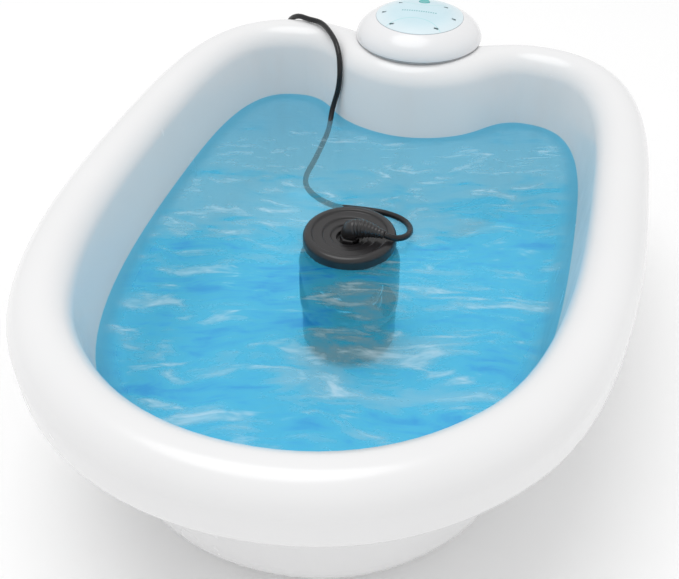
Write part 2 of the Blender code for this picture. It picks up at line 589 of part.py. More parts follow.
def make_rocker(black, panel, face, pivot):
    """A rocker switch; the paddle rocks about X between its two tilts."""
    flange, body, recess = ROCKER_FLANGE, ROCKER_BODY, ROCKER_RECESS
    at, parent = (0, face + GAP, ROCKER_Z), panel.parent
    frame = box("switch_frame", flange, (0, flange[1] / 2, 0), 1 * MM, 1)
    frame = link("switch_frame", frame, black, parent, at)
    join = box("switch_body", body, (0, flange[1] / 2 - body[1] / 2, 0))
    combine(frame, "UNION", link(join.name, join, None, parent, at))
    hollow = box("switch_recess", recess, (0, flange[1] + RECESS_CLEAR - recess[1] / 2, 0))
    combine(frame, "DIFFERENCE", link(hollow.name, hollow, None, parent, at))
    pin_hole = disc("switch_pin_hole", PIVOT_RADIUS + GAP, -body[0], body[0], 12)
    pin_at = (0, pivot.location.y, pivot.location.z)
    combine(frame, "DIFFERENCE", link(pin_hole.name, pin_hole, None, parent, pin_at, (0, math.pi / 2, 0)))
    opening = (body[0] + 2 * GAP, 6 * PANEL_SIZE[1], body[2] + 2 * GAP)
    through_panel(panel, "switch_opening", box("switch_opening", opening), at)

    half, high = recess[2] / 2 - ROCKER_SLACK, ROCKER_PIVOT + flange[1]
    foot = half - ROCKER_TAPER
    low = -ROCKER_BELOW
    section = ((-half, high), (0, high - ROCKER_DIP), (half, high), (foot, low), (-foot, low))
    loops = [[(x, y, z) for z, y in section] for x in (-ROCKER_WIDTH / 2, ROCKER_WIDTH / 2)]
    paddle = link("rocker", skin("rocker", loops), black, pivot, turn=(ROCKER_TILT, 0, 0))
    pin = disc("rocker_pin", PIVOT_RADIUS, -body[0] / 2 + GAP, body[0] / 2 - GAP, 12)
    combine(paddle, "UNION", link(pin.name, pin, None, pivot, turn=(0, math.pi / 2, 0)))


def make_socket(metal, panel, face):
    at, parent = (0, face + GAP, SOCKET_Z), panel.parent
    flange, thick = SOCKET_FLANGE
    profile = (
        (0, -SOCKET_DEPTH), (SOCKET_RADIUS, -SOCKET_DEPTH), (SOCKET_RADIUS, 0), (flange, 0), (flange, thick),
        (SOCKET_RADIUS, thick), (SOCKET_RADIUS, thick + SOCKET_REACH), (SOCKET_BORE, thick + SOCKET_REACH),
        (SOCKET_BORE, -SOCKET_DEPTH / 2), (0, -SOCKET_DEPTH / 2),
    )
    link("array_socket", turned("array_socket", profile, 24), metal, parent, at, (-math.pi / 2, 0, 0))
    hole = disc("socket_opening", SOCKET_RADIUS + GAP, -6 * PANEL_SIZE[1], 6 * PANEL_SIZE[1], 24)
    combine(panel, "DIFFERENCE", link(hole.name, hole, None, parent, at, (math.pi / 2, 0, 0)))


def make_plug(black, face, parent):
    """A right-angled plug in the array socket; its outlet and relief point down and to the left."""
    seat = face + GAP + SOCKET_FLANGE[1] + SOCKET_REACH + GAP
    at = (0, seat, SOCKET_Z)
    tip = GAP - SOCKET_REACH
    radius = SOCKET_BORE - GAP
    profile = (
        (0, tip), (radius, tip), (radius, 0), (PLUG_RADIUS, 0), (PLUG_RADIUS, PLUG_LENGTH - 2 * MM),
        (PLUG_RADIUS - 2 * MM, PLUG_LENGTH), (0, PLUG_LENGTH),
    )
    plug = link("array_plug", turned("array_plug", profile, 24), black, parent, at, (-math.pi / 2, 0, 0))
    outlet_radius, outlet_length = PLUG_OUTLET
    outlet = disc("plug_outlet", outlet_radius, 0, outlet_length, 16)
    middle = (0, seat + PLUG_LENGTH / 2, SOCKET_Z)
    aim = (0, -math.radians(135), 0)
    combine(plug, "UNION", link(outlet.name, outlet, None, parent, middle, aim))
    low, high = outlet_length + GAP, outlet_length + GAP + RELIEF_LENGTH
    relief = ((0, low), (outlet_radius * 0.9, low), (CORD_RADIUS + 1 * MM, high), (0, high))
    link("plug_relief", turned("plug_relief", relief, 16), black, parent, middle, aim)
    along = Vector((-math.sqrt(0.5), 0, -math.sqrt(0.5)))
    return Vector(middle) + along * (high + GAP)


def make_supply(board_green, black, aluminium, parent):
    y = DOME_Y + SUPPLY_BOARD_Y
    z = PANEL_Z
    board = box("supply_board", SUPPLY_BOARD, (0, y, z), 2 * MM, 1)
    link("supply_board", board, board_green, parent)
    front = y + SUPPLY_BOARD[1] / 2 + GAP
    low = z - SUPPLY_BOARD[2] / 2
    w, d, h = TRANSFORMER
    core = box("transformer", TRANSFORMER, (0, 0, 0), 1 * MM)
    link("transformer", core, black, parent, (SUPPLY_SPREAD, front + d / 2, low + h))
    w, d, h = HEAT_SINK
    sink = box("heat_sink", (w, SINK_BACK, h), (0, (SINK_BACK - d) / 2, 0))
    sink = link("heat_sink", sink, aluminium, parent, (-SUPPLY_SPREAD, front + d / 2, low + h))
    for i in range(HEAT_SINK_FINS):
        x = (i / (HEAT_SINK_FINS - 1) - 0.5) * (w - FIN_THICK)
        fin = box(f"sink_fin_{i}", (FIN_THICK, d - SINK_BACK / 2, h), (x, SINK_BACK / 4, 0))
        combine(sink, "UNION", link(fin.name, fin, None, parent, tuple(sink.location)))


# Electrode array

def make_array(black, steel, array):
    wall = ARRAY_WALL
    bottom = FLOOR_Z + GAP
    lip = 3 * MM
    foot_arc = arc((ARRAY_FOOT_RADIUS - FOOT_ROUND, bottom + FOOT_ROUND), FOOT_ROUND, 270, 360, 4)
    waist, inside = ARRAY_WAIST_RADIUS, ARRAY_FOOT_RADIUS - wall
    foot = [(0, bottom)] + foot_arc + [
        (ARRAY_FOOT_RADIUS, FOOT_TOP - lip), (waist, FOOT_TOP), (waist - wall, FOOT_TOP),
        (inside, FOOT_TOP - lip - wall), (inside, bottom + FOOT_ROUND),
        (ARRAY_FOOT_RADIUS - FOOT_ROUND, bottom + wall), (0, bottom + wall),
    ]
    link("array_foot", turned("array_foot", foot, 24), black, array)

    low, high = FOOT_TOP + GAP, CAGE_TOP
    shoulder = CAGE_RADIUS - 1 * MM
    bulge = [
        (waist, low), (shoulder, low + 4 * MM), (CAGE_RADIUS, low + 9 * MM), (CAGE_RADIUS, high - 11 * MM),
        (shoulder, high - 6 * MM), (waist, high - 2 * MM), (waist - 1 * MM, high),
    ]
    profile = bulge + [(r - wall, z) for r, z in reversed(bulge)]
    cage = link("array_cage", turned("array_cage", profile, 24, True), black, array)
    width, height = WINDOW_SIZE
    for i in range(WINDOW_COUNT):
        window = box(f"cage_window_{i}", (width, 3 * CAGE_RADIUS, height), (0, 0, 0), 4 * MM, 1)
        window.transform(Matrix.Rotation(WINDOW_SLANT, 4, "Y"))
        cut_depth = Matrix.Translation((0, 1.6 * CAGE_RADIUS, (low + high) / 2))
        window.transform(Matrix.Rotation(2 * math.pi * i / WINDOW_COUNT, 4, "Z") @ cut_depth)
        combine(cage, "DIFFERENCE", link(window.name, window, None, array))

    low = CAGE_TOP + GAP
    neck = waist - 2 * MM
    rounded = arc((CAP_RADIUS - CAP_ROUND, CAP_TOP - CAP_ROUND), CAP_ROUND, 90, 0, 4)
    well_radius, well_depth = CAP_WELL
    top = [(0, CAP_TOP - well_depth), (well_radius, CAP_TOP - well_depth)]
    inner = well_radius
    for radius, depth in reversed(CAP_STEPS):
        top += [(inner, CAP_TOP - depth), (radius - 1 * MM, CAP_TOP - depth)]
        inner = radius
    top += [(inner, CAP_TOP)] + rounded
    roof = CAP_TOP - well_depth - wall
    groove = low + 3.5 * MM
    under = [(CAP_RADIUS, groove + 1.5 * MM), (CAP_RADIUS - 1 * MM, groove), (neck, groove), (neck, low),
             (neck - wall, low), (neck - wall, roof), (0, roof)]
    link("array_cap", turned("array_cap", top + under, 24), black, array)

    disc_radius = waist - 1 * MM - wall - GAP
    disc_low = CAGE_TOP - TERMINAL_THICK
    terminal = link("terminal_disc", disc("terminal_disc", disc_radius, disc_low, CAGE_TOP), black, array)
    rod_hole = disc("rod_hole", ROD_RADIUS + GAP, 0, CAP_TOP, 12)
    coil_hole = disc("coil_hole", COIL_WIRE + GAP, 0, CAP_TOP, 12)
    combine(terminal, "DIFFERENCE", link(rod_hole.name, rod_hole, None, array))
    combine(terminal, "DIFFERENCE", link(coil_hole.name, coil_hole, None, array, (COIL_RADIUS, 0, 0)))
    link("electrode_rod", disc("electrode_rod", ROD_RADIUS, ROD_BOTTOM, ROD_TOP, 12), steel, array)
    steps = COIL_TURNS * COIL_STEPS
    helix = []
    for i in range(steps + 1):
        angle, z = 2 * math.pi * i / COIL_STEPS, COIL_BOTTOM + (COIL_TOP - COIL_BOTTOM) * i / steps
        helix.append((COIL_RADIUS * math.cos(angle), COIL_RADIUS * math.sin(angle), z))
    lead = [(COIL_RADIUS, 0, z) for z in (COIL_TOP + 6 * MM, ROD_TOP)]
    make_tube("electrode_coil", helix + lead, COIL_WIRE, steel, array, 1)

    nut_radius, nut_height = GLAND
    low = CAP_TOP - well_depth + GAP
    top = low + nut_height
    nut = ((0, low), (nut_radius, low), (nut_radius, top - 1 * MM), (nut_radius - 1 * MM, top), (0, top))
    link("cord_gland", turned("cord_gland", nut, 6), black, array)


# Cord

def smooth_route(route):
    """Points about one step apart along a Catmull-Rom curve through the route, given in millimetres."""
    knots = [Vector(point) * MM for point in route]
    knots = [knots[0] * 2 - knots[1]] + knots + [knots[-1] * 2 - knots[-2]]
    fine = []
    for a, b, c, d in zip(knots, knots[1:], knots[2:], knots[3:]):
        for i in range(12):
            t = i / 12
            bend = (a * 2 - b * 5 + c * 4 - d) * t * t + (b * 3 - a - c * 3 + d) * t ** 3
            fine.append((b * 2 + (c - a) * t + bend) / 2)
    fine.append(knots[-2])
    length = sum((q - p).length for p, q in zip(fine, fine[1:]))
    count = round(length / CORD_STEP)
    points, walked, wanted = [fine[0]], 0.0, length / count
    for p, q in zip(fine, fine[1:]):
        step = (q - p).length
        while walked + step >= wanted * len(points) and len(points) < count:
            points.append(p.lerp(q, (wanted * len(points) - walked) / step))
        walked += step
    return points + [fine[-1]]


def make_tube(name, points, radius, material, parent=None, resolution=2, radii=None):
    curve = bpy.data.curves.new(name, "CURVE")
    curve.dimensions = "3D"
    curve.bevel_depth, curve.bevel_resolution, curve.use_fill_caps = radius, resolution, True
    spline = curve.splines.new("POLY")
    spline.points.add(len(points) - 1)
    for spot, point in zip(spline.points, points):
        spot.co = (*point, 1)
    for spot, share in zip(spline.points, radii or ()):
        spot.radius = share
    return link(name, curve, material, parent)


def make_cord(black, face, basin):
    """array_cord runs from the boot to the rim's crest, and lead_cord from there to the plug."""
    base = Vector((ARRAY_X, ARRAY_Y, CAP_TOP - CAP_WELL[1] + GLAND[1] + 2 * GAP))
    boot = [base + Vector(offset) * MM for offset in BOOT_ROUTE]
    make_tube("strain_relief", boot, BOOT_RADIUS, black, None, 4, BOOT_TAPER)
    along = (boot[-1] - boot[-2]).normalized()
    start = boot[-1] + along * 2 * GAP
    join = Vector(CORD_JOIN) * MM
    inner = smooth_route([start / MM, *INNER_ROUTE, join / MM])
    plug_end = make_plug(black, face, basin)
    outer = smooth_route([join / MM, *OUTER_ROUTE, plug_end / MM])
    outer[0] += (outer[1] - outer[0]).normalized() * GAP
    make_tube("array_cord", inner, CORD_RADIUS, black)
    make_tube("lead_cord", outer, CORD_RADIUS, black, basin)


def main():
    clear_scene()
    white = make_material("white_abs", (0.9, 0.9, 0.9), 0.28)
    shade = make_material("inner_plastic", (0.82, 0.82, 0.82), 0.45)
    black = make_material("black_plastic", (0.03, 0.03, 0.032), 0.4)
    rubber = make_material("grey_rubber", (0.35, 0.36, 0.37), 0.8)
    seal = make_material("seal_rubber", (0.72, 0.72, 0.73), 0.7)
    cord = make_material("black_rubber", (0.02, 0.02, 0.022), 0.5)
    film = make_material("panel_film", (0.7, 0.86, 0.9), 0.35)
    teal = make_material("teal_plastic", (0.16, 0.6, 0.6), 0.3)
    lens = make_material("indicator_lens", (0.1, 0.35, 0.38), 0.2)
    green = make_material("circuit_board", (0.03, 0.2, 0.1), 0.5)
    steel = make_material("steel", (0.6, 0.6, 0.6), 0.25, 1)
    aluminium = make_material("aluminium", (0.7, 0.7, 0.72), 0.35, 1)

    basin = empty("basin_frame")
    make_liner(white, basin)
    shell = make_outer_shell(white, basin)
    make_base(white, rubber, steel, shell, basin)
    dome = empty("dome_frame", (0, DOME_Y, RIM_TOP + SEAL_HEIGHT + 2 * GAP), basin)
    button = empty("button_axis", (0, BUTTON_OFFSET, 0), dome)
    make_dome(white, seal, film, teal, lens, green, black, steel, dome, button)
    column = make_column(white, basin)
    panel, face = make_panel(shade, steel, column, basin)
    make_inlet(black, steel, panel, face)
    pivot = empty("rocker_axis", (0, face - ROCKER_PIVOT, ROCKER_Z), basin)
    make_rocker(black, panel, face, pivot)
    make_socket(steel, panel, face)
    make_supply(green, black, aluminium, basin)
    array = empty("array_axis", (ARRAY_X, ARRAY_Y, 0), basin)
    make_array(black, steel, array)
    make_cord(cord, face, basin)


main()
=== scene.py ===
import json
import math

import bmesh
import bpy
from mathutils import Matrix, Vector, noise

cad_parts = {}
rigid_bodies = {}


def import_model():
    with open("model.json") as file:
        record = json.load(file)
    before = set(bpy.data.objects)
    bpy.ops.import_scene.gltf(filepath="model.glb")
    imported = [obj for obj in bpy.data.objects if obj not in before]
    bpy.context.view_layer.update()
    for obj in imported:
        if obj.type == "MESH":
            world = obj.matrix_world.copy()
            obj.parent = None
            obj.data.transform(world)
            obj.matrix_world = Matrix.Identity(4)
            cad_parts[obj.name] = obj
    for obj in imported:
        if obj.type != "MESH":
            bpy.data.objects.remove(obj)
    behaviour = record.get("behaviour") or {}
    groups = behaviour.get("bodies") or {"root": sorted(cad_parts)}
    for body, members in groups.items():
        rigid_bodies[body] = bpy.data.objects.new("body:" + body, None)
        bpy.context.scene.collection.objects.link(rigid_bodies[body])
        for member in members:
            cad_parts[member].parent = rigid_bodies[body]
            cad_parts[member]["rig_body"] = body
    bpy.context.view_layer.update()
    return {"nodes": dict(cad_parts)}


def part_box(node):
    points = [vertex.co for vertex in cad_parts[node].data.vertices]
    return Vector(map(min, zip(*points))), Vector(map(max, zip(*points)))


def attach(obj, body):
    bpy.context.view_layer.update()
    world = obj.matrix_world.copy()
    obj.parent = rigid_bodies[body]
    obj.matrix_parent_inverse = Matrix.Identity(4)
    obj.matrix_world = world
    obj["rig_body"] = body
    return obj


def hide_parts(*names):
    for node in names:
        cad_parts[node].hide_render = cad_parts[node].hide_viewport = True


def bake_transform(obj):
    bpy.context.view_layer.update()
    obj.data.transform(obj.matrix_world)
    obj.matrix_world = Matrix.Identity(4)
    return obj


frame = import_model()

mm = 0.001
gap = 0.3  # between neighbouring pieces, in mm


# camera, floor and light

studio = {
    "cameraAt": (0.12556, -0.5035, 0.49806),
    "cameraAim": (-0.0027, -0.0288, 0.0856),
    "lens": 48.1,
    "skyColour": (1, 1, 1, 1),
    "skyStrength": 0.76,
    "lightSize": 2.2,
    "keyPower": 31.0,
    "keyAt": (-0.50, 0.10, 3.2),
    "fillPower": 0.8,
    "fillAt": (0.9, -0.6, 0.9),
    "floorColour": (1.0, 1.0, 1.0, 1),
    "floorSize": 12,
    "lightAim": (0, -0.02, 0.1),
}


def aimed(obj, at, target):
    obj.location = at
    obj.rotation_euler = (Vector(target) - Vector(at)).to_track_quat("-Z", "Y").to_euler()
    return obj


def placed(name, data):
    obj = bpy.data.objects.new(name, data)
    bpy.context.scene.collection.objects.link(obj)
    return obj


def makeCamera():
    data = bpy.data.cameras.new("viewer")
    data.lens, data.sensor_width = studio["lens"], 36
    bpy.context.scene.camera = aimed(placed("viewer", data), studio["cameraAt"], studio["cameraAim"])


makeCamera()
bpy.context.scene.view_settings.view_transform = "Standard"
print("camera placed")


# shader maths written as expressions

class Value:
    def __init__(self, surface, socket):
        self.surface, self.socket = surface, socket

    def maths(self, operation, other, swapped=False):
        pair = (other, self) if swapped else (self, other)
        return self.surface.node("ShaderNodeMath", {"operation": operation}, dict(enumerate(pair)))

    def __add__(self, other):
        return self.maths("ADD", other)

    def __radd__(self, other):
        return self.maths("ADD", other, True)

    def __sub__(self, other):
        return self.maths("SUBTRACT", other)

    def __rsub__(self, other):
        return self.maths("SUBTRACT", other, True)

    def __mul__(self, other):
        return self.maths("MULTIPLY", other)

    def __rmul__(self, other):
        return self.maths("MULTIPLY", other, True)

    def __abs__(self):
        return self.surface.node("ShaderNodeMath", {"operation": "ABSOLUTE"}, {0: self})


class Surface:
    def __init__(self, name, **shader):
        self.material = bpy.data.materials.new(name)
        self.material.use_nodes = True
        self.tree = self.material.node_tree
        self.shader = self.tree.nodes["Principled BSDF"]
        self.set(**shader)

    def plug(self, socket, value):
        if isinstance(value, Value):
            self.tree.links.new(value.socket, socket)
        else:
            socket.default_value = value

    def node(self, kind, settings=None, inputs=None, output=0):
        made = self.tree.nodes.new(kind)
        for name, value in (settings or {}).items():
            if name == "stops":
                while len(made.color_ramp.elements) < len(value):
                    made.color_ramp.elements.new(0.5)
                for stop, (place, colour) in zip(made.color_ramp.elements, value):
                    stop.position, stop.color = place, colour
            else:
                setattr(made, name, value)
        for name, value in (inputs or {}).items():
            self.plug(made.inputs[name], value)
        return Value(self, made.outputs[output])

    def set(self, **shader):
        for name, value in shader.items():
            self.plug(self.shader.inputs[name.replace("_", " ")], value)

    def here(self):
        return self.node("ShaderNodeTexCoord", output="Object")

    def stretched(self, vector, factors):
        return self.node("ShaderNodeVectorMath", {"operation": "MULTIPLY"}, {0: vector, 1: factors})

    def speckle(self, scale, detail=3.0, vector=None, rough=0.5, distortion=0.0):
        inputs = {"Vector": vector or self.here(), "Scale": scale, "Detail": detail, "Roughness": rough}
        return self.node("ShaderNodeTexNoise", None, {**inputs, "Distortion": distortion})

    # eased from one range to another
    def spread(self, value, low, high, new=(0.0, 1.0)):
        ends = {0: value, 1: low, 2: high, 3: new[0], 4: new[1]}
        return self.node("ShaderNodeMapRange", {"interpolation_type": "SMOOTHSTEP"}, ends)

    def flat(self, x, y):
        return self.node("ShaderNodeCombineXYZ", None, {0: x, 1: y})

    # one part of a vector: 0 for x, 1 for y
    def part(self, vector, axis):
        return self.node("ShaderNodeSeparateXYZ", None, {0: vector}, axis)

    def mix(self, factor, one, two):
        return self.node("ShaderNodeMix", {"data_type": "RGBA"}, {0: factor, 6: one, 7: two}, 2)

    def bump(self, height, distance, strength=1.0, below=None):
        inputs = {"Height": height, "Distance": distance, "Strength": strength}
        if below:
            inputs["Normal"] = below
        return self.node("ShaderNodeBump", None, inputs)


def tinted(colour, factor):
    return tuple(min(1, part * factor) for part in colour[:3]) + (1,)


# a moulded plastic or rubber
def moulded(name, colour, roughness, grain=0.02 * mm, pitch=900.0, wave=0.05 * mm, coat=0.0, uneven=0.03):
    surface = Surface(name, Coat_Weight=coat, Coat_Roughness=0.12)
    broad = surface.speckle(9, 2)
    fine = surface.speckle(pitch, 2)
    smudge = surface.speckle(38, 4)
    shades = tinted(colour, 1 - uneven), tinted(colour, 1 + uneven)
    surface.set(
        Base_Color=surface.mix(surface.spread(broad, 0.3, 0.7), *shades),
        Roughness=surface.spread(smudge, 0.3, 0.75, (roughness * 0.88, roughness * 1.15)),
    )
    sag = surface.bump(broad, wave, 0.6)
    surface.set(Normal=surface.bump(fine, grain, 0.7, sag))
    return surface.material


print("shader tools ready")


# finishes

finishes = {
    "tub": (0.86, 0.86, 0.865, 1),
    "bowl": (0.80, 0.80, 0.805, 1),
    "dome": (0.85, 0.85, 0.86, 1),
    "panel": (0.66, 0.66, 0.67, 1),
    "seal": (0.42, 0.42, 0.43, 1),
    "black": (0.017, 0.016, 0.017, 1),
    "cord": (0.012, 0.012, 0.013, 1),
    "foot": (0.20, 0.20, 0.21, 1),
    "teal": (0.10, 0.45, 0.45, 1),
    "lens": (0.035, 0.10, 0.12, 1),
    "board": (0.010, 0.085, 0.035, 1),
    "steel": (0.55, 0.55, 0.56, 1),
    "aluminium": (0.62, 0.62, 0.64, 1),
}


# metal with drawn or turned streaks along Z
def brushed(name, colour, roughness, stretch):
    surface = Surface(name, Metallic=1.0)
    streaks = surface.speckle(1, 3, surface.stretched(surface.here(), stretch))
    surface.set(
        Base_Color=surface.mix(streaks, tinted(colour, 0.82), tinted(colour, 1.12)),
        Roughness=surface.spread(streaks, 0.3, 0.7, (roughness * 0.8, roughness * 1.25)),
        Normal=surface.bump(streaks, 0.01 * mm, 0.6),
    )
    return surface.material


def circuitBoard():
    surface = Surface("solderResist", Coat_Weight=0.4)
    here = surface.here()
    cells = surface.node("ShaderNodeTexVoronoi", {"distance": "CHEBYCHEV"}, {"Vector": here, "Scale": 210.0})
    tracks = surface.spread(cells, 0.30, 0.36)
    green = finishes["board"]
    surface.set(
        Base_Color=surface.mix(tracks, tinted(green, 0.8), tinted(green, 2.1)),
        Roughness=surface.spread(surface.speckle(60), 0.3, 0.7, (0.3, 0.45)),
        Normal=surface.bump(tracks, 0.04 * mm, 0.8),
    )
    return surface.material


def glossyCord():
    surface = Surface("blackCordSkin", Specular_IOR_Level=0.3, Coat_Weight=0.12, Coat_Roughness=0.15)
    fine = surface.speckle(1400, 2)
    black = finishes["cord"]
    surface.set(
        Base_Color=surface.mix(surface.speckle(30), tinted(black, 0.7), tinted(black, 1.3)),
        Roughness=surface.spread(surface.speckle(120), 0.3, 0.7, (0.26, 0.38)),
        Normal=surface.bump(fine, 0.02 * mm, 0.5),
    )
    return surface.material


materials = {
    "tub": moulded("glossWhitePlastic", finishes["tub"], 0.24, 0.02 * mm, 700, 0.12 * mm, 0.25, 0.012),
    "bowl": moulded("satinWhitePlastic", finishes["bowl"], 0.4, 0.03 * mm, uneven=0.015),
    "dome": moulded("domePlastic", finishes["dome"], 0.22, 0.012 * mm, coat=0.3, uneven=0.01),
    "panel": moulded("grainedPanelPlastic", finishes["panel"], 0.5, 0.06 * mm, 1300),
    "seal": moulded("softSealRubber", finishes["seal"], 0.7, 0.04 * mm),
    "black": moulded("satinBlackPlastic", finishes["black"], 0.32, 0.03 * mm, 1500, coat=0.15, uneven=0.2),
    "foot": moulded("ribbedFootRubber", finishes["foot"], 0.75, 0.06 * mm, 1100, uneven=0.1),
    "teal": moulded("tealButtonPlastic", finishes["teal"], 0.25, 0.01 * mm, coat=0.3, uneven=0.06),
    "lens": moulded("smokedLens", finishes["lens"], 0.18, 0.005 * mm, coat=0.4, uneven=0.1),
    "cord": glossyCord(),
    "board": circuitBoard(),
    "steel": brushed("turnedSteel", finishes["steel"], 0.28, (160, 160, 900)),
    "aluminium": brushed("drawnAluminium", finishes["aluminium"], 0.36, (1400, 1400, 40)),
}
print("finishes made")


# mesh tools

def finishedMesh(name, shape, sharp=35):
    bmesh.ops.recalc_face_normals(shape, faces=shape.faces)
    mesh = bpy.data.meshes.new(name)
    shape.to_mesh(mesh)
    shape.free()
    mesh.shade_smooth()
    mesh.set_sharp_from_angle(angle=math.radians(sharp))
    return mesh


def piece(name, mesh, finish, body, *nodes):
    obj = placed(name, mesh)
    if finish in materials:
        mesh.materials.clear()
        mesh.materials.append(materials[finish])
    if body:
        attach(obj, body)
    if nodes:
        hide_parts(*nodes)
    return obj


def joinLoops(shape, loops, closed=False):
    rings = [[shape.verts.new(point) for point in loop] for loop in loops]
    pairs = list(zip(rings, rings[1:] + rings[:1]))
    for one, two in pairs if closed else pairs[:-1]:
        for i in range(len(one)):
            shape.faces.new((one[i - 1], one[i], two[i], two[i - 1]))
    return rings


# a profile of (radius, z) turned about Z
def lathe(name, profile, steps, closed=False):
    shape = bmesh.new()
    points = [shape.verts.new((r, 0, z)) for r, z in profile]
    edges = [shape.edges.new(pair) for pair in zip(points, points[1:])]
    if closed:
        edges.append(shape.edges.new((points[-1], points[0])))
    around = {"cent": (0, 0, 0), "axis": (0, 0, 1), "angle": 2 * math.pi, "steps": steps}
    bmesh.ops.spin(shape, geom=points + edges, use_merge=True, **around)
    bmesh.ops.remove_doubles(shape, verts=shape.verts, dist=0.001 * mm)
    return finishedMesh(name, shape)


# a profile with its corners rounded; the first and last points stay
def rounded(profile, radius, steps=4):
    points = [Vector(p) for p in profile]
    made = [points[0]]
    for a, b, c in zip(points, points[1:], points[2:]):
        back, ahead = a - b, c - b
        reach = min(radius, back.length * 0.45, ahead.length * 0.45)
        start, end = b + back.normalized() * reach, b + ahead.normalized() * reach
        for i in range(steps + 1):
            t = i / steps
            made.append(start * (1 - t) ** 2 + b * 2 * t * (1 - t) + end * t * t)
    return [tuple(p) for p in made + [points[-1]]]


def arc(centre, radius, start, end, count):
    angles = [math.radians(start + (end - start) * i / count) for i in range(count + 1)]
    return [(centre[0] + radius * math.cos(a), centre[1] + radius * math.sin(a)) for a in angles]


def inMetres(profile):
    return [(r * mm, z * mm) for r, z in profile]


# points about one step apart on a smooth curve through the given ones
def spread(points, step):
    knots = [Vector(p) for p in points]
    knots = [knots[0] * 2 - knots[1]] + knots + [knots[-1] * 2 - knots[-2]]
    fine = []
    for a, b, c, d in zip(knots, knots[1:], knots[2:], knots[3:]):
        for i in range(12):
            t = i / 12
            bend = (a * 2 - b * 5 + c * 4 - d) * t * t + (b * 3 - a - c * 3 + d) * t ** 3
            fine.append((b * 2 + (c - a) * t + bend) / 2)
    fine.append(knots[-2])
    length = sum((q - p).length for p, q in zip(fine, fine[1:]))
    count = round(length / step)
    made, walked = [fine[0]], 0.0
    for p, q in zip(fine, fine[1:]):
        stride = (q - p).length
        while walked + stride >= length / count * len(made) and len(made) < count:
            made.append(p.lerp(q, (length / count * len(made) - walked) / stride))
        walked += stride
    return made + [fine[-1]]


# a round tube along points, with closed ends
def sweep(name, points, radius, sides, shares=None):
    shape = bmesh.new()
    tangents = []
    for i in range(len(points)):
        tangents.append((points[min(i + 1, len(points) - 1)] - points[max(i - 1, 0)]).normalized())
    side = tangents[0].orthogonal().normalized()
    loops = []
    for i, (point, tangent) in enumerate(zip(points, tangents)):
        side = (side - tangent * side.dot(tangent)).normalized()
        up = tangent.cross(side)
        size = radius * (shares[i] if shares else 1)
        turns = [2 * math.pi * k / sides for k in range(sides)]
        loops.append([point + (side * math.cos(a) + up * math.sin(a)) * size for a in turns])
    rings = joinLoops(shape, loops)
    shape.faces.new(rings[0])
    shape.faces.new(rings[-1])
    return finishedMesh(name, shape, 50)


# the object's mesh with its modifiers applied
def settled(obj):
    bpy.context.view_layer.update()
    graph = bpy.context.evaluated_depsgraph_get()
    mesh = bpy.data.meshes.new_from_object(obj.evaluated_get(graph), depsgraph=graph)
    obj.modifiers.clear()
    obj.data = mesh
    return mesh


def cut(obj, cutters):
    for cutter in cutters:
        modifier = obj.modifiers.new("cut", "BOOLEAN")
        modifier.operation, modifier.solver, modifier.object = "DIFFERENCE", "EXACT", cutter
    settled(obj)
    for cutter in cutters:
        bpy.data.objects.remove(cutter)


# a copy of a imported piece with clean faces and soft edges, in its place
def refined(node, finish, edge):
    source = frame["nodes"][node]
    shape = bmesh.new()
    shape.from_mesh(source.data)
    bmesh.ops.remove_doubles(shape, verts=shape.verts, dist=0.002 * mm)
    flat = {"angle_limit": math.radians(1), "delimit": {"NORMAL"}}
    bmesh.ops.dissolve_limit(shape, verts=shape.verts, edges=shape.edges, **flat)
    made = piece(node + "_finished", finishedMesh(node, shape), finish, source["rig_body"], node)
    bevel = made.modifiers.new("softEdges", "BEVEL")
    bevel.width, bevel.segments, bevel.limit_method = edge, 2, "ANGLE"
    bevel.angle_limit, bevel.harden_normals = math.radians(40), True
    bevel.use_clamp_overlap = True
    return made


print("mesh tools ready")


# cord: from the boot on the array, through the tub and over the rim, to the plug behind

cord = {
    "diameter": 4.5 * mm,
    "pitch": 4.5 * mm,
    "sides": 18,
    "gland": (-3, 0, 112.8),
    "boot": (
        (0, 0, 0), (0, 0, 2.5), (3, -0.3, 6), (8, -0.9, 8), (13.5, -1.7, 8.6), (19.5, -2.4, 8.3),
        (25.5, -3, 7.4),
    ),
    "bootRadius": 7 * mm,
    "bootTaper": (0.8, 1, 1, 0.95, 0.78, 0.6, 0.45),
    "inTub": (
        (31, -3, 118.6), (36.5, 3.5, 116.5), (38, 13, 114.3), (35, 23, 112.5), (27.5, 31.5, 111),
        (15, 37.5, 109.5), (0.5, 39.6, 108.3), (-13, 40.5, 107), (-25, 43.5, 104.5), (-40, 54.5, 100.5),
        (-52, 66.5, 98), (-59.5, 78, 97), (-61.7, 89, 99), (-60.5, 106, 101.5), (-60.8, 132, 102.5),
        (-61.5, 152, 104), (-63, 164.5, 107), (-62.8, 170, 114), (-60.8, 172.4, 123), (-58.6, 172.9, 132),
        (-57.4, 173.2, 141), (-57.5, 174.8, 149.5), (-59.8, 181, 159.3), (-65.5, 191.5, 165.6),
        (-75, 205, 168.8), (-86, 217.5, 169.8),
    ),
    "crest": (-99.4, 223.8, 169.2),
    "behind": (
        (-109, 228.8, 168.5), (-117.2, 235, 163.6), (-122.9, 240.4, 156), (-125.8, 243.6, 145),
        (-126.5, 245.5, 131), (-125, 246.5, 112), (-121, 248, 92), (-114.5, 250, 72), (-105, 253, 54),
        (-92.5, 257, 41), (-78, 262, 34.5), (-63, 267, 36), (-50, 272, 45), (-41, 276, 59),
        (-34.5, 277.5, 75), (-29, 277.7, 88.5),
    ),
    "plugAxis": (0, 277.7, 120),
    "reliefEnd": 31.6,  # from the plug's axis, down and to the left
    "followsArray": (0, 0.048, 0.1),
    "followsTub": (0, 0.168, 0.1),
}


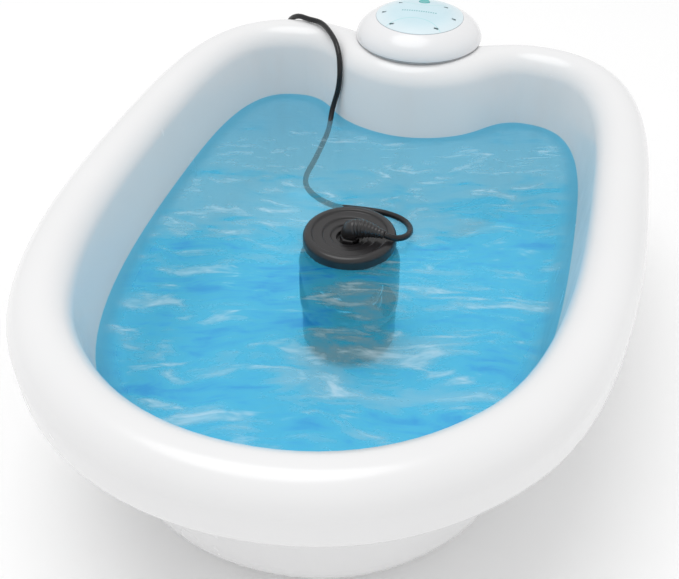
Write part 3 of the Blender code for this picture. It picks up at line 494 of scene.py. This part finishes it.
def bootRoute():
    return [(Vector(cord["gland"]) + Vector(offset)) * mm for offset in cord["boot"]]


def cordRoute():
    boot = bootRoute()
    start = boot[-1] + (boot[-1] - boot[-2]).normalized() * 2 * gap * mm
    end = (Vector(cord["plugAxis"]) + Vector((-1, 0, -1)).normalized() * cord["reliefEnd"]) * mm
    between = [Vector(point) * mm for point in (*cord["inTub"], cord["crest"], *cord["behind"])]
    return spread([start, *between, end], cord["pitch"])


def makeCord():
    route = cordRoute()
    radius = cord["diameter"] / 2
    tube = piece("electrode_lead", sweep("electrode_lead", route, radius, cord["sides"]), "cord", None)
    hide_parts("array_cord", "lead_cord")
    plug = refined("array_plug", "black", 0.5 * mm)
    relief = reliefPiece()
    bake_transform(tube)
    length = sum((q - p).length for p, q in zip(route, route[1:]))
    print(f"cord laid, {length:.3f} m")


# the share of the full radius along a boot, with ribs from first to last
def ribbedShares(count, share, first, last, ribs, deep):
    made = []
    for i in range(count):
        t = i / (count - 1)
        groove = 0
        if first < t < last:
            groove = deep * (0.5 - 0.5 * math.cos(2 * math.pi * ribs * (t - first) / (last - first)))
        made.append(share(t) * (1 - groove))
    return made


# the tapered relief behind the plug
def reliefPiece():
    axis = Vector(cord["plugAxis"]) * mm
    down = Vector((-1, 0, -1)).normalized()
    points = [axis + down * (15.3 + 16 * i / 40) * mm for i in range(41)]
    shares = ribbedShares(41, lambda t: 4.5 - 1.25 * t, 0.08, 0.92, 6, 0.16)
    mesh = sweep("plugReliefRibs", points, mm, 20, shares)
    return piece("plug_relief_ribbed", mesh, "black", "basin", "plug_relief")


makeCord()


# tub: one outline for the rim, the bowl, the shell and the water

outline = {
    "side": (176, 47),
    "front": -253,
    "corner": (131, -189.5),
    "cornerAngle": 51.5,
    "lobe": (96, 223),
    "notch": 191,
    "frontPull": 58,
    "cornerPulls": (48, 68),
    "sidePulls": (81.5, 92),
    "lobePulls": (76, 29),
    "notchPull": 25,
    "steps": (14, 18, 30, 28),
    "foldInset": 38,
    "spine": (-90, 70),
}
tub = {
    "rimTop": 166.4,
    "roll": 19,
    "lip": (9.5, 133.0),  # radius and height of its centre
    "draft": math.atan(0.125),
    "wall": 3,
    "floor": 14,
    "fillet": 30,
    "shelf": (17, 56),
    "shellWall": 2.4,
    "shellTop": 121,
    "shellCorner": 41.5,
    "base": 2.5,
    "baseInset": 74.4,
    "baseThick": 2.4,
    "footPad": (12, 2.2, 7.5, 0.5),  # radius, height, and its groove's radius and depth
    "flange": 18,
    "seenSteps": (12, 8, 26, 8),  # of the fillet, wall, roll and lip
    "hiddenSteps": (5, 3, 10, 3),
}


# (point, inward normal, shelf width) round the rim's crest, in mm
def crestLine():
    front, corner = Vector((0, outline["front"])), Vector(outline["corner"])
    side, lobe, notch = Vector(outline["side"]), Vector(outline["lobe"]), Vector((0, outline["notch"]))
    turn = math.radians(outline["cornerAngle"])
    along, x, y = Vector((math.cos(turn), math.sin(turn))), Vector((1, 0)), Vector((0, 1))
    handles = (
        (front, front + x * outline["frontPull"], corner - along * outline["cornerPulls"][0], corner),
        (corner, corner + along * outline["cornerPulls"][1], side - y * outline["sidePulls"][0], side),
        (side, side + y * outline["sidePulls"][1], lobe + x * outline["lobePulls"][0], lobe),
        (lobe, lobe - x * outline["lobePulls"][1], notch + x * outline["notchPull"], notch),
    )
    half = []
    for (a, b, c, d), steps in zip(handles, outline["steps"]):
        for i in range(steps):
            t = i / steps
            half.append(a * (1 - t) ** 3 + b * 3 * t * (1 - t) ** 2 + c * 3 * t * t * (1 - t) + d * t ** 3)
    crest = half + [notch] + [Vector((-p.x, p.y)) for p in reversed(half[1:])]
    made = []
    for i, point in enumerate(crest):
        tangent = (crest[(i + 1) % len(crest)] - crest[i - 1]).normalized()
        shelf = tub["shelf"][0] * math.exp(-((point.x / tub["shelf"][1]) ** 4)) if point.y > 0 else 0
        made.append((point, Vector((-tangent.y, tangent.x)), shelf))
    return made


stations = crestLine()


# square to the crest line at first, then towards the tub's spine
def outlinePoint(station, inset, shelved=False):
    point, normal, shelf = station
    edge = point + normal * (min(inset, outline["foldInset"]) + (shelf if shelved else 0))
    if inset <= outline["foldInset"]:
        return edge
    spine = Vector((0, min(max(edge.y, outline["spine"][0]), outline["spine"][1])))
    return edge + (spine - edge).normalized() * (inset - outline["foldInset"])


def outlineLoop(inset, z, shelved=False):
    return [Vector((*outlinePoint(station, inset, shelved), z)) * mm for station in stations]


# (inset, z) from the floor's edge up the wall, over the roll and down to the lip
def linerSection(depth, steps):
    roll = (0, tub["rimTop"] - tub["roll"])
    cosine, sine = math.cos(tub["draft"]), math.sin(tub["draft"])
    top = (roll[0] + tub["roll"] * cosine, roll[1] + tub["roll"] * sine)
    down = (top[1] + tub["fillet"] * sine - tub["floor"] - tub["fillet"]) / cosine
    fillet = (top[0] + down * sine + tub["fillet"] * cosine, tub["floor"] + tub["fillet"])
    angle = math.degrees(tub["draft"])
    lipRadius, lipHeight = tub["lip"]
    bend = arc(fillet, tub["fillet"] + depth, 270, 180 + angle, steps[0])
    over = arc(roll, tub["roll"] - depth, angle, 180, steps[2])
    wall = [tuple(Vector(bend[-1]).lerp(Vector(over[0]), i / steps[1])) for i in range(1, steps[1])]
    lip = arc((lipRadius - tub["roll"], lipHeight), lipRadius - depth, 180, 270, steps[3])
    return bend + wall + over + lip


# rings from a loop inwards to the tub's spine
def towardsSpine(loop, shares, z):
    low, high = (value * mm for value in outline["spine"])
    rings = []
    for share in shares:
        ring = []
        for point in loop:
            spine = Vector((0, min(max(point.y, low), high), z))
            flat = Vector((point.x, point.y, z))
            ring.append(flat.lerp(spine, share))
        rings.append(ring)
    return rings


def makeLiner():
    seen = linerSection(0, tub["seenSteps"])
    hidden = linerSection(tub["wall"], tub["hiddenSteps"])
    shape = bmesh.new()
    outer = [outlineLoop(inset, z, inset > 0) for inset, z in seen]
    inner = [outlineLoop(inset, z, inset > 0) for inset, z in hidden]
    shares = [i / 9 for i in range(9, 0, -1)]
    loops = towardsSpine(outer[0], shares, tub["floor"] * mm) + outer
    loops += inner[::-1] + towardsSpine(inner[0], shares[::-1], (tub["floor"] - tub["wall"]) * mm)
    joinLoops(shape, loops)
    bmesh.ops.remove_doubles(shape, verts=shape.verts, dist=0.01 * mm)
    return piece("tub_liner_smooth", finishedMesh("tubLiner", shape, 60), "tub", "basin", "liner")


def makeShell():
    slope = math.tan(tub["draft"])
    angle = math.degrees(tub["draft"])
    liner = linerSection(tub["wall"], tub["hiddenSteps"])[tub["hiddenSteps"][0]]
    cornerZ = tub["base"] + tub["shellCorner"]
    foot = liner[0] + slope * (liner[1] - cornerZ) - (gap + tub["shellWall"]) / math.cos(tub["draft"])
    centre = (foot + tub["shellCorner"] / math.cos(tub["draft"]), cornerZ)
    edge, step = tub["baseInset"] - gap, tub["base"] + tub["baseThick"] + gap

    def wall(depth, count):
        corner = arc(centre, tub["shellCorner"] - depth, 180 + angle, 270, count)
        top = (corner[0][0] - slope * (tub["shellTop"] - corner[0][1]), tub["shellTop"])
        return [tuple(Vector(top).lerp(Vector(corner[0]), i / 5)) for i in range(5)] + corner

    flange, thick = edge + tub["flange"], tub["shellWall"]
    section = wall(0, 14) + [(edge, tub["base"]), (edge, step), (flange, step), (flange, step + thick)]
    section += [(edge - thick, step + thick), (edge - thick, tub["base"] + thick)] + wall(thick, 5)[::-1]
    shape = bmesh.new()
    joinLoops(shape, [outlineLoop(inset, z) for inset, z in section], True)
    return piece("tub_shell_smooth", finishedMesh("tubShell", shape, 40), "tub", "basin", "outer_shell")


def makeBase():
    refined("base_plate", "bowl", 0.3 * mm)
    radius, high, ring, deep = tub["footPad"]
    profile = [
        (0, 0), (ring - 1, 0), (ring - 0.6, deep), (ring + 0.6, deep), (ring + 1, 0),
        (radius - 0.9, 0), (radius, 0.9), (radius, high), (0, high),
    ]
    for node in [end + "_" + side + "_foot" for end in ("front", "rear") for side in ("left", "right")]:
        low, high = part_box(node)
        mesh = lathe(node, inMetres(rounded(profile, 0.4, 3)), 64)
        mesh.transform(Matrix.Translation(((low.x + high.x) / 2, (low.y + high.y) / 2, low.z)))
        piece(node + "_pad", mesh, "foot", "basin", node)


makeLiner()
makeShell()
makeBase()
print("tub made")


# dome: the control unit on the rim's shelf

dome = {
    "at": (0, 219, 168.0),  # middle of the cap's underside
    "radius": 53,
    "high": 22.5,
    "wall": 2.2,
    "powers": (0.85, 1.05),
    "film": 36.5,
    "recess": 0.5,
    "filmThick": 0.4,
    "sealWidth": 5.4,
    "sealThick": 1,
    "button": (19.5, 4.5),  # distance behind the middle, radius
    "buttonProud": 0.9,
    "lights": ((19.5, 14), (29.5, -5), (18.5, -25.5)),
    "lightSize": (3, 1.4),
    "filmPale": (0.60, 0.79, 0.86, 1),
    "filmInk": (0.33, 0.72, 0.74, 1),
    "filmDots": (0.10, 0.42, 0.45, 1),
    "filmEdge": (0.86, 0.90, 0.92, 1),
    "filmLines": ((0, 34, 24, 0.5, 20), (0, -43, 27, 0.5, 24)),  # centre, radius, width and half span
}


def domeHeight(radius, depth=0.0):
    share = min(1, radius / (dome["radius"] - depth))
    side = math.acos(share ** (1 / dome["powers"][0]))
    return (dome["high"] - depth) * math.sin(side) ** dome["powers"][1]


# (radius, height) from the top of the dome out to its edge
def domeFace(depth, count):
    made = []
    for i in range(count, -1, -1):
        radius = (dome["radius"] - depth) * math.cos(math.pi / 2 * i / count) ** dome["powers"][0]
        radius = radius if radius > 0.01 else 0
        made.append((radius, domeHeight(radius, depth)))
    return made


def atDome(mesh, x=0.0, y=0.0):
    mesh.transform(Matrix.Translation(Vector((dome["at"][0] + x, dome["at"][1] + y, dome["at"][2])) * mm))
    return mesh


def hole(mesh):
    return placed("hole", mesh)


# the button's and the lights' openings, through cap and film
def domeHoles():
    behind, radius = dome["button"]
    bore = lathe("buttonHole", inMetres([(0, 6), (radius + gap, 6), (radius + gap, 30), (0, 30)]), 48)
    made = [hole(atDome(bore, 0, behind))]
    width, depth = (size + 2 * gap for size in dome["lightSize"])
    for x, y in dome["lights"]:
        for side in (-1, 1):
            slot = roundedBox("lightHole", width, depth, 4, 30, 0.5)
            made.append(hole(atDome(slot, side * x, y)))
    return made


# a standing block with round corners
def roundedBox(name, width, depth, low, high, corner, steps=4):
    shape = bmesh.new()
    outlinePoints = []
    for turn, (sx, sy) in enumerate(((1, 1), (-1, 1), (-1, -1), (1, -1))):
        centre = (sx * (width / 2 - corner), sy * (depth / 2 - corner))
        outlinePoints += arc(centre, corner, 90 * turn, 90 * turn + 90, steps)
    loops = [[Vector((x, y, z)) * mm for x, y in outlinePoints] for z in (low, high)]
    rings = joinLoops(shape, loops)
    shape.faces.new(rings[0])
    shape.faces.new(rings[-1])
    return finishedMesh(name, shape)


def makeCap():
    edge = dome["film"] + gap
    recess = []
    for i in range(25):
        r = edge * i / 24
        recess.append((r, domeHeight(r) - dome["recess"]))
    step = [(edge, domeHeight(edge) - 0.08), (edge + 0.15, domeHeight(edge + 0.15))]
    outer = recess + step + [p for p in domeFace(0, 64) if edge + 0.8 < p[0] < dome["radius"] - 0.1]
    foot = [(dome["radius"] - 0.1, 0.9), (dome["radius"] - 0.1, 0.35), (dome["radius"] - 0.45, 0)]
    inner = domeFace(dome["wall"], 24)[::-1]
    profile = inMetres(outer + foot + inner)
    cap = piece("dome_cap_smooth", atDome(lathe("domeCap", profile, 128)), "dome", "basin", "dome_cap")
    cut(cap, domeHoles())
    return cap


# pale film with a smile and a frown line and a row of plain dots
def filmSurface():
    surface = Surface("printedControlFilm", Coat_Weight=0.35, Coat_Roughness=0.15)
    centre = tuple(part * mm for part in dome["at"])
    local = surface.node("ShaderNodeVectorMath", {"operation": "SUBTRACT"}, {0: surface.here(), 1: centre})
    x, y = surface.part(local, 0), surface.part(local, 1)

    def arcLine(cx, cy, radius, width, halfSpan):
        ends = {0: surface.flat(x, y), 1: (cx * mm, cy * mm, 0)}
        distance = surface.node("ShaderNodeVectorMath", {"operation": "DISTANCE"}, ends, 1)
        line = 1 - surface.spread(abs(distance - radius * mm), width * mm * 0.35, width * mm)
        return line * (1 - surface.spread(abs(x - cx * mm), (halfSpan - 3) * mm, halfSpan * mm))

    dots = surface.spread(abs(x), 14.5 * mm, 15 * mm, (1.0, 0.0))
    comb = surface.node("ShaderNodeMath", {"operation": "PINGPONG"}, {0: x + 15 * mm, 1: 2 * mm})
    rows = surface.spread(abs(y + 3.5 * mm), 0.9 * mm, 1.2 * mm, (1.0, 0.0))
    marks = dots * rows * surface.spread(abs(comb - 1 * mm), 0.55 * mm, 0.7 * mm, (1.0, 0.0))
    wash = surface.spread(surface.speckle(26, 2), 0.3, 0.7)
    ground = surface.mix(wash, tinted(dome["filmPale"], 0.98), tinted(dome["filmPale"], 1.03))
    edge = surface.node("ShaderNodeVectorMath", {"operation": "LENGTH"}, {0: surface.flat(x, y)}, 1)
    printed = surface.mix(surface.spread(edge, 20 * mm, 36 * mm, (0.0, 0.45)), ground, dome["filmEdge"])
    for line in dome["filmLines"]:
        printed = surface.mix(arcLine(*line) * 0.7, printed, dome["filmInk"])
    printed = surface.mix(marks * 0.75, printed, dome["filmDots"])
    surface.set(
        Base_Color=printed,
        Roughness=surface.spread(surface.speckle(70), 0.3, 0.7, (0.28, 0.4)),
        Normal=surface.bump(surface.speckle(1500, 2), 0.01 * mm, 0.5),
    )
    return surface.material


def makeFilm():
    low = []
    for i in range(25):
        r = dome["film"] * i / 24
        low.append((r, domeHeight(r) - dome["recess"] + gap))
    high = [(r, z + dome["filmThick"]) for r, z in low]
    film = atDome(lathe("controlFilm", inMetres(low + high[::-1]), 128))
    materials["film"] = filmSurface()
    film = piece("control_film", film, "film", "basin", "panel_overlay")
    cut(film, domeHoles())


# a soft-edged button with a shallow dish and a ring round it
def makeButton():
    behind, radius = dome["button"]
    top = domeHeight(behind) + dome["buttonProud"]
    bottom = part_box("power_button")[0].z / mm - dome["at"][2]
    flange = domeHeight(behind + 6.2, dome["wall"]) - 0.6
    section = [(0, bottom), (1.7, bottom), (2.7, flange - 1.2), (6.2, flange - 1.2)]
    section += [(6.2, flange), (radius, flange)]
    rim = arc((radius - 0.8, top - 0.8), 0.8, 0, 90, 6)
    dish = [(radius - 1.3, top - 0.12), (radius * 0.4, top - 0.28), (0, top - 0.32)]
    mesh = atDome(lathe("softButton", inMetres(section + rim + dish), 64), 0, behind)
    piece("power_button_soft", mesh, "teal", "button", "power_button")


def makeDome():
    outer, low = dome["radius"] - 2 * gap, -dome["sealThick"] - gap
    inner = outer - dome["sealWidth"]
    ring = [(inner, low), (outer, low), (outer, -gap), (inner, -gap)]
    seal = atDome(lathe("domeSealRing", inMetres(ring), 96, True))
    piece("dome_seal_ring", seal, "seal", "basin", "dome_seal")
    makeCap()
    makeFilm()
    makeButton()
    for i in range(1, 2 * len(dome["lights"]) + 1):
        refined(f"light_{i}", "lens", 0.25 * mm)


makeDome()
print("dome made")


# array: the electrode unit that stands in the tub

array = {
    "at": (-3, 0),
    "waist": 33.6,
    "foot": 35.5,
    "cage": 37,
    "cap": 33.5,
    "wall": 2.5,
    "bottom": 14.3,
    "footTop": 46,
    "cageTop": 100.5,
    "capTop": 116,
    "footRound": 9,
    "capRound": 4,
    "capSteps": ((27.5, 1.5), (20, 3), (14, 4.5)),
    "well": (9.5, 8),
    "windows": (6, 17, 34, 32),  # count, width, height, slant
    "coil": (24, 1.6, 5, 27, 88),
    "rod": (3, 24, 104),
    "gland": (7.4, 4.2),
}


def atArray(mesh):
    mesh.transform(Matrix.Translation((array["at"][0] * mm, array["at"][1] * mm, 0)))
    return mesh


def makeArrayFoot():
    wall, radius, waist = array["wall"], array["foot"], array["waist"]
    low, top, bend = array["bottom"], array["footTop"], array["footRound"]
    outside = arc((radius - bend, low + bend), bend, 270, 360, 12)
    upper = rounded([outside[-1], (radius, top - 3), (waist, top), (waist - wall, top)], 1.2)
    inside = [(radius - wall, top - 3 - wall), (radius - wall, low + bend)]
    bowl = arc((radius - bend, low + bend), bend - wall, 360, 270, 8)
    profile = [(0, low)] + outside[:-1] + upper + inside + bowl + [(0, low + wall)]
    foot = atArray(lathe("arrayFoot", inMetres(profile), 96))
    piece("array_foot_smooth", foot, "black", "array", "array_foot")


def makeArrayCage():
    low, high = array["footTop"] + gap, array["cageTop"]
    waist, radius, wall = array["waist"], array["cage"], array["wall"]
    bulge = rounded([
        (waist, low), (radius - 1, low + 4), (radius, low + 9), (radius, high - 11), (radius - 1, high - 6),
        (waist, high - 2), (waist - 1, high),
    ], 2.2)
    profile = bulge + [(r - wall, z) for r, z in reversed(bulge)]
    mesh = lathe("arrayCage", inMetres(profile), 120, True)
    cage = piece("array_cage_smooth", mesh, "black", "array", "array_cage")
    count, width, height, slant = array["windows"]
    windows = []
    for i in range(count):
        window = roundedBox("window", width, height, 0, 2 * radius, 5, 6)
        window.transform(Matrix.Rotation(math.radians(90), 4, "X"))
        window.transform(Matrix.Translation((0, 2.6 * radius * mm, 0)))
        window.transform(Matrix.Rotation(math.radians(slant), 4, "Y"))
        window.transform(Matrix.Rotation(2 * math.pi * i / count, 4, "Z"))
        window.transform(Matrix.Translation((0, 0, (low + high) / 2 * mm)))
        windows.append(hole(window))
    cut(cage, windows)
    atArray(cage.data)
    cage.data.set_sharp_from_angle(angle=math.radians(35))


def makeArrayCap():
    low, top, radius = array["cageTop"] + gap, array["capTop"], array["cap"]
    waist, wall = array["waist"], array["wall"]
    wellRadius, wellDepth = array["well"]
    rings = [(0, top - wellDepth), (wellRadius, top - wellDepth)]
    inner = wellRadius
    for ring, depth in reversed(array["capSteps"]):
        rings += [(inner, top - depth), (ring - 1, top - depth - 0.15)]
        inner = ring
    rings += [(inner, top), (radius - array["capRound"], top)]
    crown = arc((radius - array["capRound"], top - array["capRound"]), array["capRound"], 90, 0, 12)
    neck, groove, roof = waist - 2, low + 3.5, top - wellDepth - wall
    below = rounded([
        crown[-1], (radius, groove + 1.5), (radius - 1, groove), (neck, groove), (neck, low),
        (neck - wall, low),
    ], 0.7)
    profile = rounded(rings, 0.8, 5) + crown[1:-1] + below + [(neck - wall, roof), (0, roof)]
    cap = atArray(lathe("arrayCap", inMetres(profile), 128))
    piece("array_cap_smooth", cap, "black", "array", "array_cap")


def makeElectrodes():
    radius, wire, turns, low, high = array["coil"]
    steps = turns * 36
    helix = []
    for i in range(steps + 1):
        angle, z = 2 * math.pi * turns * i / steps, low + (high - low) * i / steps
        helix.append(Vector((radius * math.cos(angle), radius * math.sin(angle), z)) * mm)
    lead = [Vector((radius, 0, z)) * mm for z in (high + 3, high + 6, array["rod"][2])]
    coil = atArray(sweep("electrodeCoil", helix + lead, wire * mm, 12))
    piece("electrode_coil_wire", coil, "steel", "array", "electrode_coil")
    rodRadius, rodLow, rodHigh = array["rod"]
    section = [(0, rodLow), (rodRadius, rodLow), (rodRadius, rodHigh), (0, rodHigh)]
    rod = atArray(lathe("electrodeRod", inMetres(rounded(section, 0.8)), 48))
    piece("electrode_rod_turned", rod, "steel", "array", "electrode_rod")


# the gland's nut and the ribbed boot that leans out of the well
def makeBoot():
    refined("cord_gland", "black", 0.5 * mm)
    points = spread(bootRoute(), 0.45 * mm)
    taper = cord["bootTaper"]

    def share(t):
        place = t * (len(taper) - 1)
        i = min(int(place), len(taper) - 2)
        return taper[i] + (taper[i + 1] - taper[i]) * (place - i)

    shares = ribbedShares(len(points), share, 0.30, 0.97, 9, 0.11)
    boot = sweep("ribbedBoot", points, cord["bootRadius"], 36, shares)
    piece("ribbed_boot", boot, "black", "array", "strain_relief")


makeArrayFoot()
makeArrayCage()
makeArrayCap()
makeElectrodes()
makeBoot()
print("array made")


# water: one rippled sheet in the tub, thinning towards the wall

water = {
    "level": 108,
    "rings": 30,
    "meniscus": 0.8,
    "ripple": 0.45,
    "swells": ((12, 1, 1.7), (30, 0.5, 6.1)),  # scale, share and seed
    "calmWithin": 14,  # of the wall
    "thinWithin": 15,
    "dip": (1.4, 33, 4),  # depth, radius and slope's width, clear of the well in the array's cap
    "waves": ((9, 4, 0.5, 0.6), (24, 4, 0.55, 1.1), (60, 3, 0.5, 0.8)),  # broad, streaks, fine
    "grain": (0.9, 3.4),  # ripples per unit along and across the light's streaks
    "streakTurn": 15.12,
    "deep": (0.004, 0.34, 0.86, 1),
    "mid": (0.060, 0.66, 1.0, 1),
    # lighter streak tone: painted reflection of the bright room on the ripples
    "light": (0.42, 0.84, 1.0, 1),
    # near-white of the ripple crests: painted glints, light reflected off the ripples
    "paintedGlint": (0.78, 0.92, 1.0, 1),
    # greyer tone at the back: painted reflection of the tub's shaded back wall
    "paintedWallReflection": (0.30, 0.56, 0.74, 1),
    "cover": (0.42, 0.24),  # of the deep and of the light tone
    "below": (0.44, 0.84, 1.0, 1),  # what lies under it is seen in this tint
}


# how far inside the crest line the wall is at a height
def waterInset(level):
    section = linerSection(0, tub["seenSteps"])
    for (a, za), (b, zb) in zip(section, section[1:]):
        if za <= level <= zb:
            return a + (b - a) * (level - za) / (zb - za)
    return section[0][0]


def makeWater():
    level = water["level"]
    edge = waterInset(level) + 0.25
    shape = bmesh.new()
    shore = []
    rim = outlineLoop(edge, level + water["meniscus"], True)
    near = [outlineLoop(edge + step, level, True) for step in (0.6, 1.6, 3)]
    shares = [i / water["rings"] for i in range(1, water["rings"] + 1)]
    inner = towardsSpine(near[-1], shares, level * mm)
    joinLoops(shape, [rim] + near + inner)
    bmesh.ops.remove_doubles(shape, verts=shape.verts, dist=0.05 * mm)
    turn = Matrix.Rotation(math.radians(-water["streakTurn"]), 3, "Z")
    along, across = water["grain"]
    depth, radius, slope = water["dip"]
    outer = [Vector((p.x, p.y)) for p in rim]
    for vert in shape.verts:
        here = turn @ vert.co
        distance = min((Vector((vert.co.x, vert.co.y)) - p).length for p in outer)
        calm = min(1, distance / (water["calmWithin"] * mm))
        swell = 0
        for scale, share, seed in water["swells"]:
            swell += share * noise.noise(Vector((here.x * along * scale, here.y * across * scale, seed)))
        vert.co.z += swell * water["ripple"] * mm * calm
        fromArray = (Vector((vert.co.x, vert.co.y)) / mm - Vector(array["at"])).length
        vert.co.z -= depth * mm * min(1, max(0, (radius - fromArray) / slope))
        shore.append(distance)
    mesh = finishedMesh("waterSheet", shape, 180)
    layer = mesh.attributes.new("shore", "FLOAT", "POINT")
    layer.data.foreach_set("value", shore)
    sheet = placed("water_surface", mesh)
    mesh.materials.append(waterSurface())
    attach(sheet, "basin")


def waterSurface():
    surface = Surface("clearBlueWater", IOR=1.33, Specular_IOR_Level=0.5)
    here = surface.node("ShaderNodeVectorRotate", {"rotation_type": "Z_AXIS"},
                        {"Vector": surface.here(), "Angle": math.radians(-water["streakTurn"])})
    shore = surface.node("ShaderNodeAttribute", {"attribute_name": "shore"}, output=2)
    warp = surface.speckle(7, 3, here)
    flow = surface.node("ShaderNodeVectorMath", {"operation": "ADD"}, {
        0: surface.stretched(here, (1.0, 3.3, 1.0)), 1: surface.flat(warp * 0.05, warp * 0.16),
    })
    broad, streak, fine = (surface.speckle(*wave[:2], flow, *wave[2:]) for wave in water["waves"])
    behind = surface.part(here, 1)
    # the blue is the water's own colour; its lighter streaks and the lightening towards the back are painted
    # reflections of the bright room on the ripples
    back = surface.spread(behind, -60 * mm, 150 * mm)
    tone = broad * 0.5 + streak * 0.38 + fine * 0.12 + back * 0.13
    colour = surface.mix(surface.spread(tone, 0.36, 0.50), water["deep"], water["mid"])
    colour = surface.mix(surface.spread(tone, 0.49, 0.60), colour, water["light"])
    # painted glints: near-white on the ripple crests, also made a little more opaque
    crest = surface.spread(streak * 0.6 + fine * 0.2 + broad * 0.2, 0.53, 0.70)
    colour = surface.mix(crest * 0.8, colour, water["paintedGlint"])
    # greyer towards the back: painted reflection of the tub's shaded back wall
    paintedWallReflection = surface.spread(behind, 95 * mm, 185 * mm)
    colour = surface.mix(paintedWallReflection * 0.6, colour, water["paintedWallReflection"])
    thin = surface.spread(shore, 0, water["thinWithin"] * mm)
    body = surface.spread(tone, 0.36, 0.62, water["cover"])
    cover = (thin * 0.96 + 0.04) * (body + crest * 0.28)
    surface.set(
        Base_Color=colour,
        Roughness=surface.spread(fine, 0.3, 0.7, (0.10, 0.22)),
        Normal=surface.bump(streak * 0.7 + fine * 0.3, 1.2 * mm, 0.35),
    )
    clear = surface.node("ShaderNodeBsdfTransparent", None, {"Color": water["below"]})
    shaded = Value(surface, surface.shader.outputs[0])
    blend = surface.node("ShaderNodeMixShader", None, {0: cover, 1: clear, 2: shaded})
    surface.plug(surface.tree.nodes["Material Output"].inputs[0], blend)
    return surface.material


makeWater()
print("water made")


# rear: the connector column, its panel and their fittings

rearPieces = {
    "rear_column": ("tub", 0.8),
    "connector_panel": ("panel", 0.4),
    "mains_inlet": ("black", 0.3),
    "switch_frame": ("black", 0.25),
    "rocker": ("black", 0.3),
    "array_socket": ("steel", 0.25),
}


def makeRear():
    for node, (finish, edge) in rearPieces.items():
        refined(node, finish, edge * mm)


makeRear()


# inner pieces and fixings stay as they are, in their own finish

carried = {
    "bowl": ("dome_tray",),
    "board": ("control_board", "supply_board"),
    "black": ("buzzer", "button_switch", "transformer", "terminal_disc"),
    "aluminium": ("heat_sink",),
    "steel": (
        "dome_screw_left", "dome_screw_right", "dome_screw_rear", "panel_screw_1", "panel_screw_2",
        "base_screw_1", "base_screw_2", "base_screw_3", "base_screw_4",
    ),
}


def finishCarried():
    for finish, nodes in carried.items():
        for node in nodes:
            mesh = frame["nodes"][node].data
            if not mesh.materials:
                mesh.materials.append(None)
            for i in range(len(mesh.materials)):
                mesh.materials[i] = materials[finish]


finishCarried()
print("inner pieces finished")


# floor and light

def floorSurface():
    surface = Surface("paleFloor", Roughness=0.6)
    wash = surface.spread(surface.speckle(2.5, 3), 0.3, 0.7)
    floor = studio["floorColour"]
    surface.set(Base_Color=surface.mix(wash, tinted(floor, 0.995), floor))
    return surface.material


def softLight(name, power, at):
    data = bpy.data.lights.new(name, "AREA")
    data.shape, data.size, data.energy = "DISK", studio["lightSize"], power
    aimed(placed(name, data), at, studio["lightAim"])


def makeStudio():
    shape = bmesh.new()
    bmesh.ops.create_grid(shape, x_segments=2, y_segments=2, size=studio["floorSize"] / 2)
    floor = placed("floor", finishedMesh("floor", shape))
    floor.location.z = -0.05 * mm
    floor.data.materials.append(floorSurface())
    world = bpy.data.worlds.new("paleRoom")
    world.use_nodes = True
    sky = world.node_tree.nodes["Background"].inputs
    sky["Color"].default_value, sky["Strength"].default_value = studio["skyColour"], studio["skyStrength"]
    bpy.context.scene.world = world
    for light in ("key", "fill"):
        softLight(light + "Light", studio[light + "Power"], studio[light + "At"])


makeStudio()
print("floor and light made")
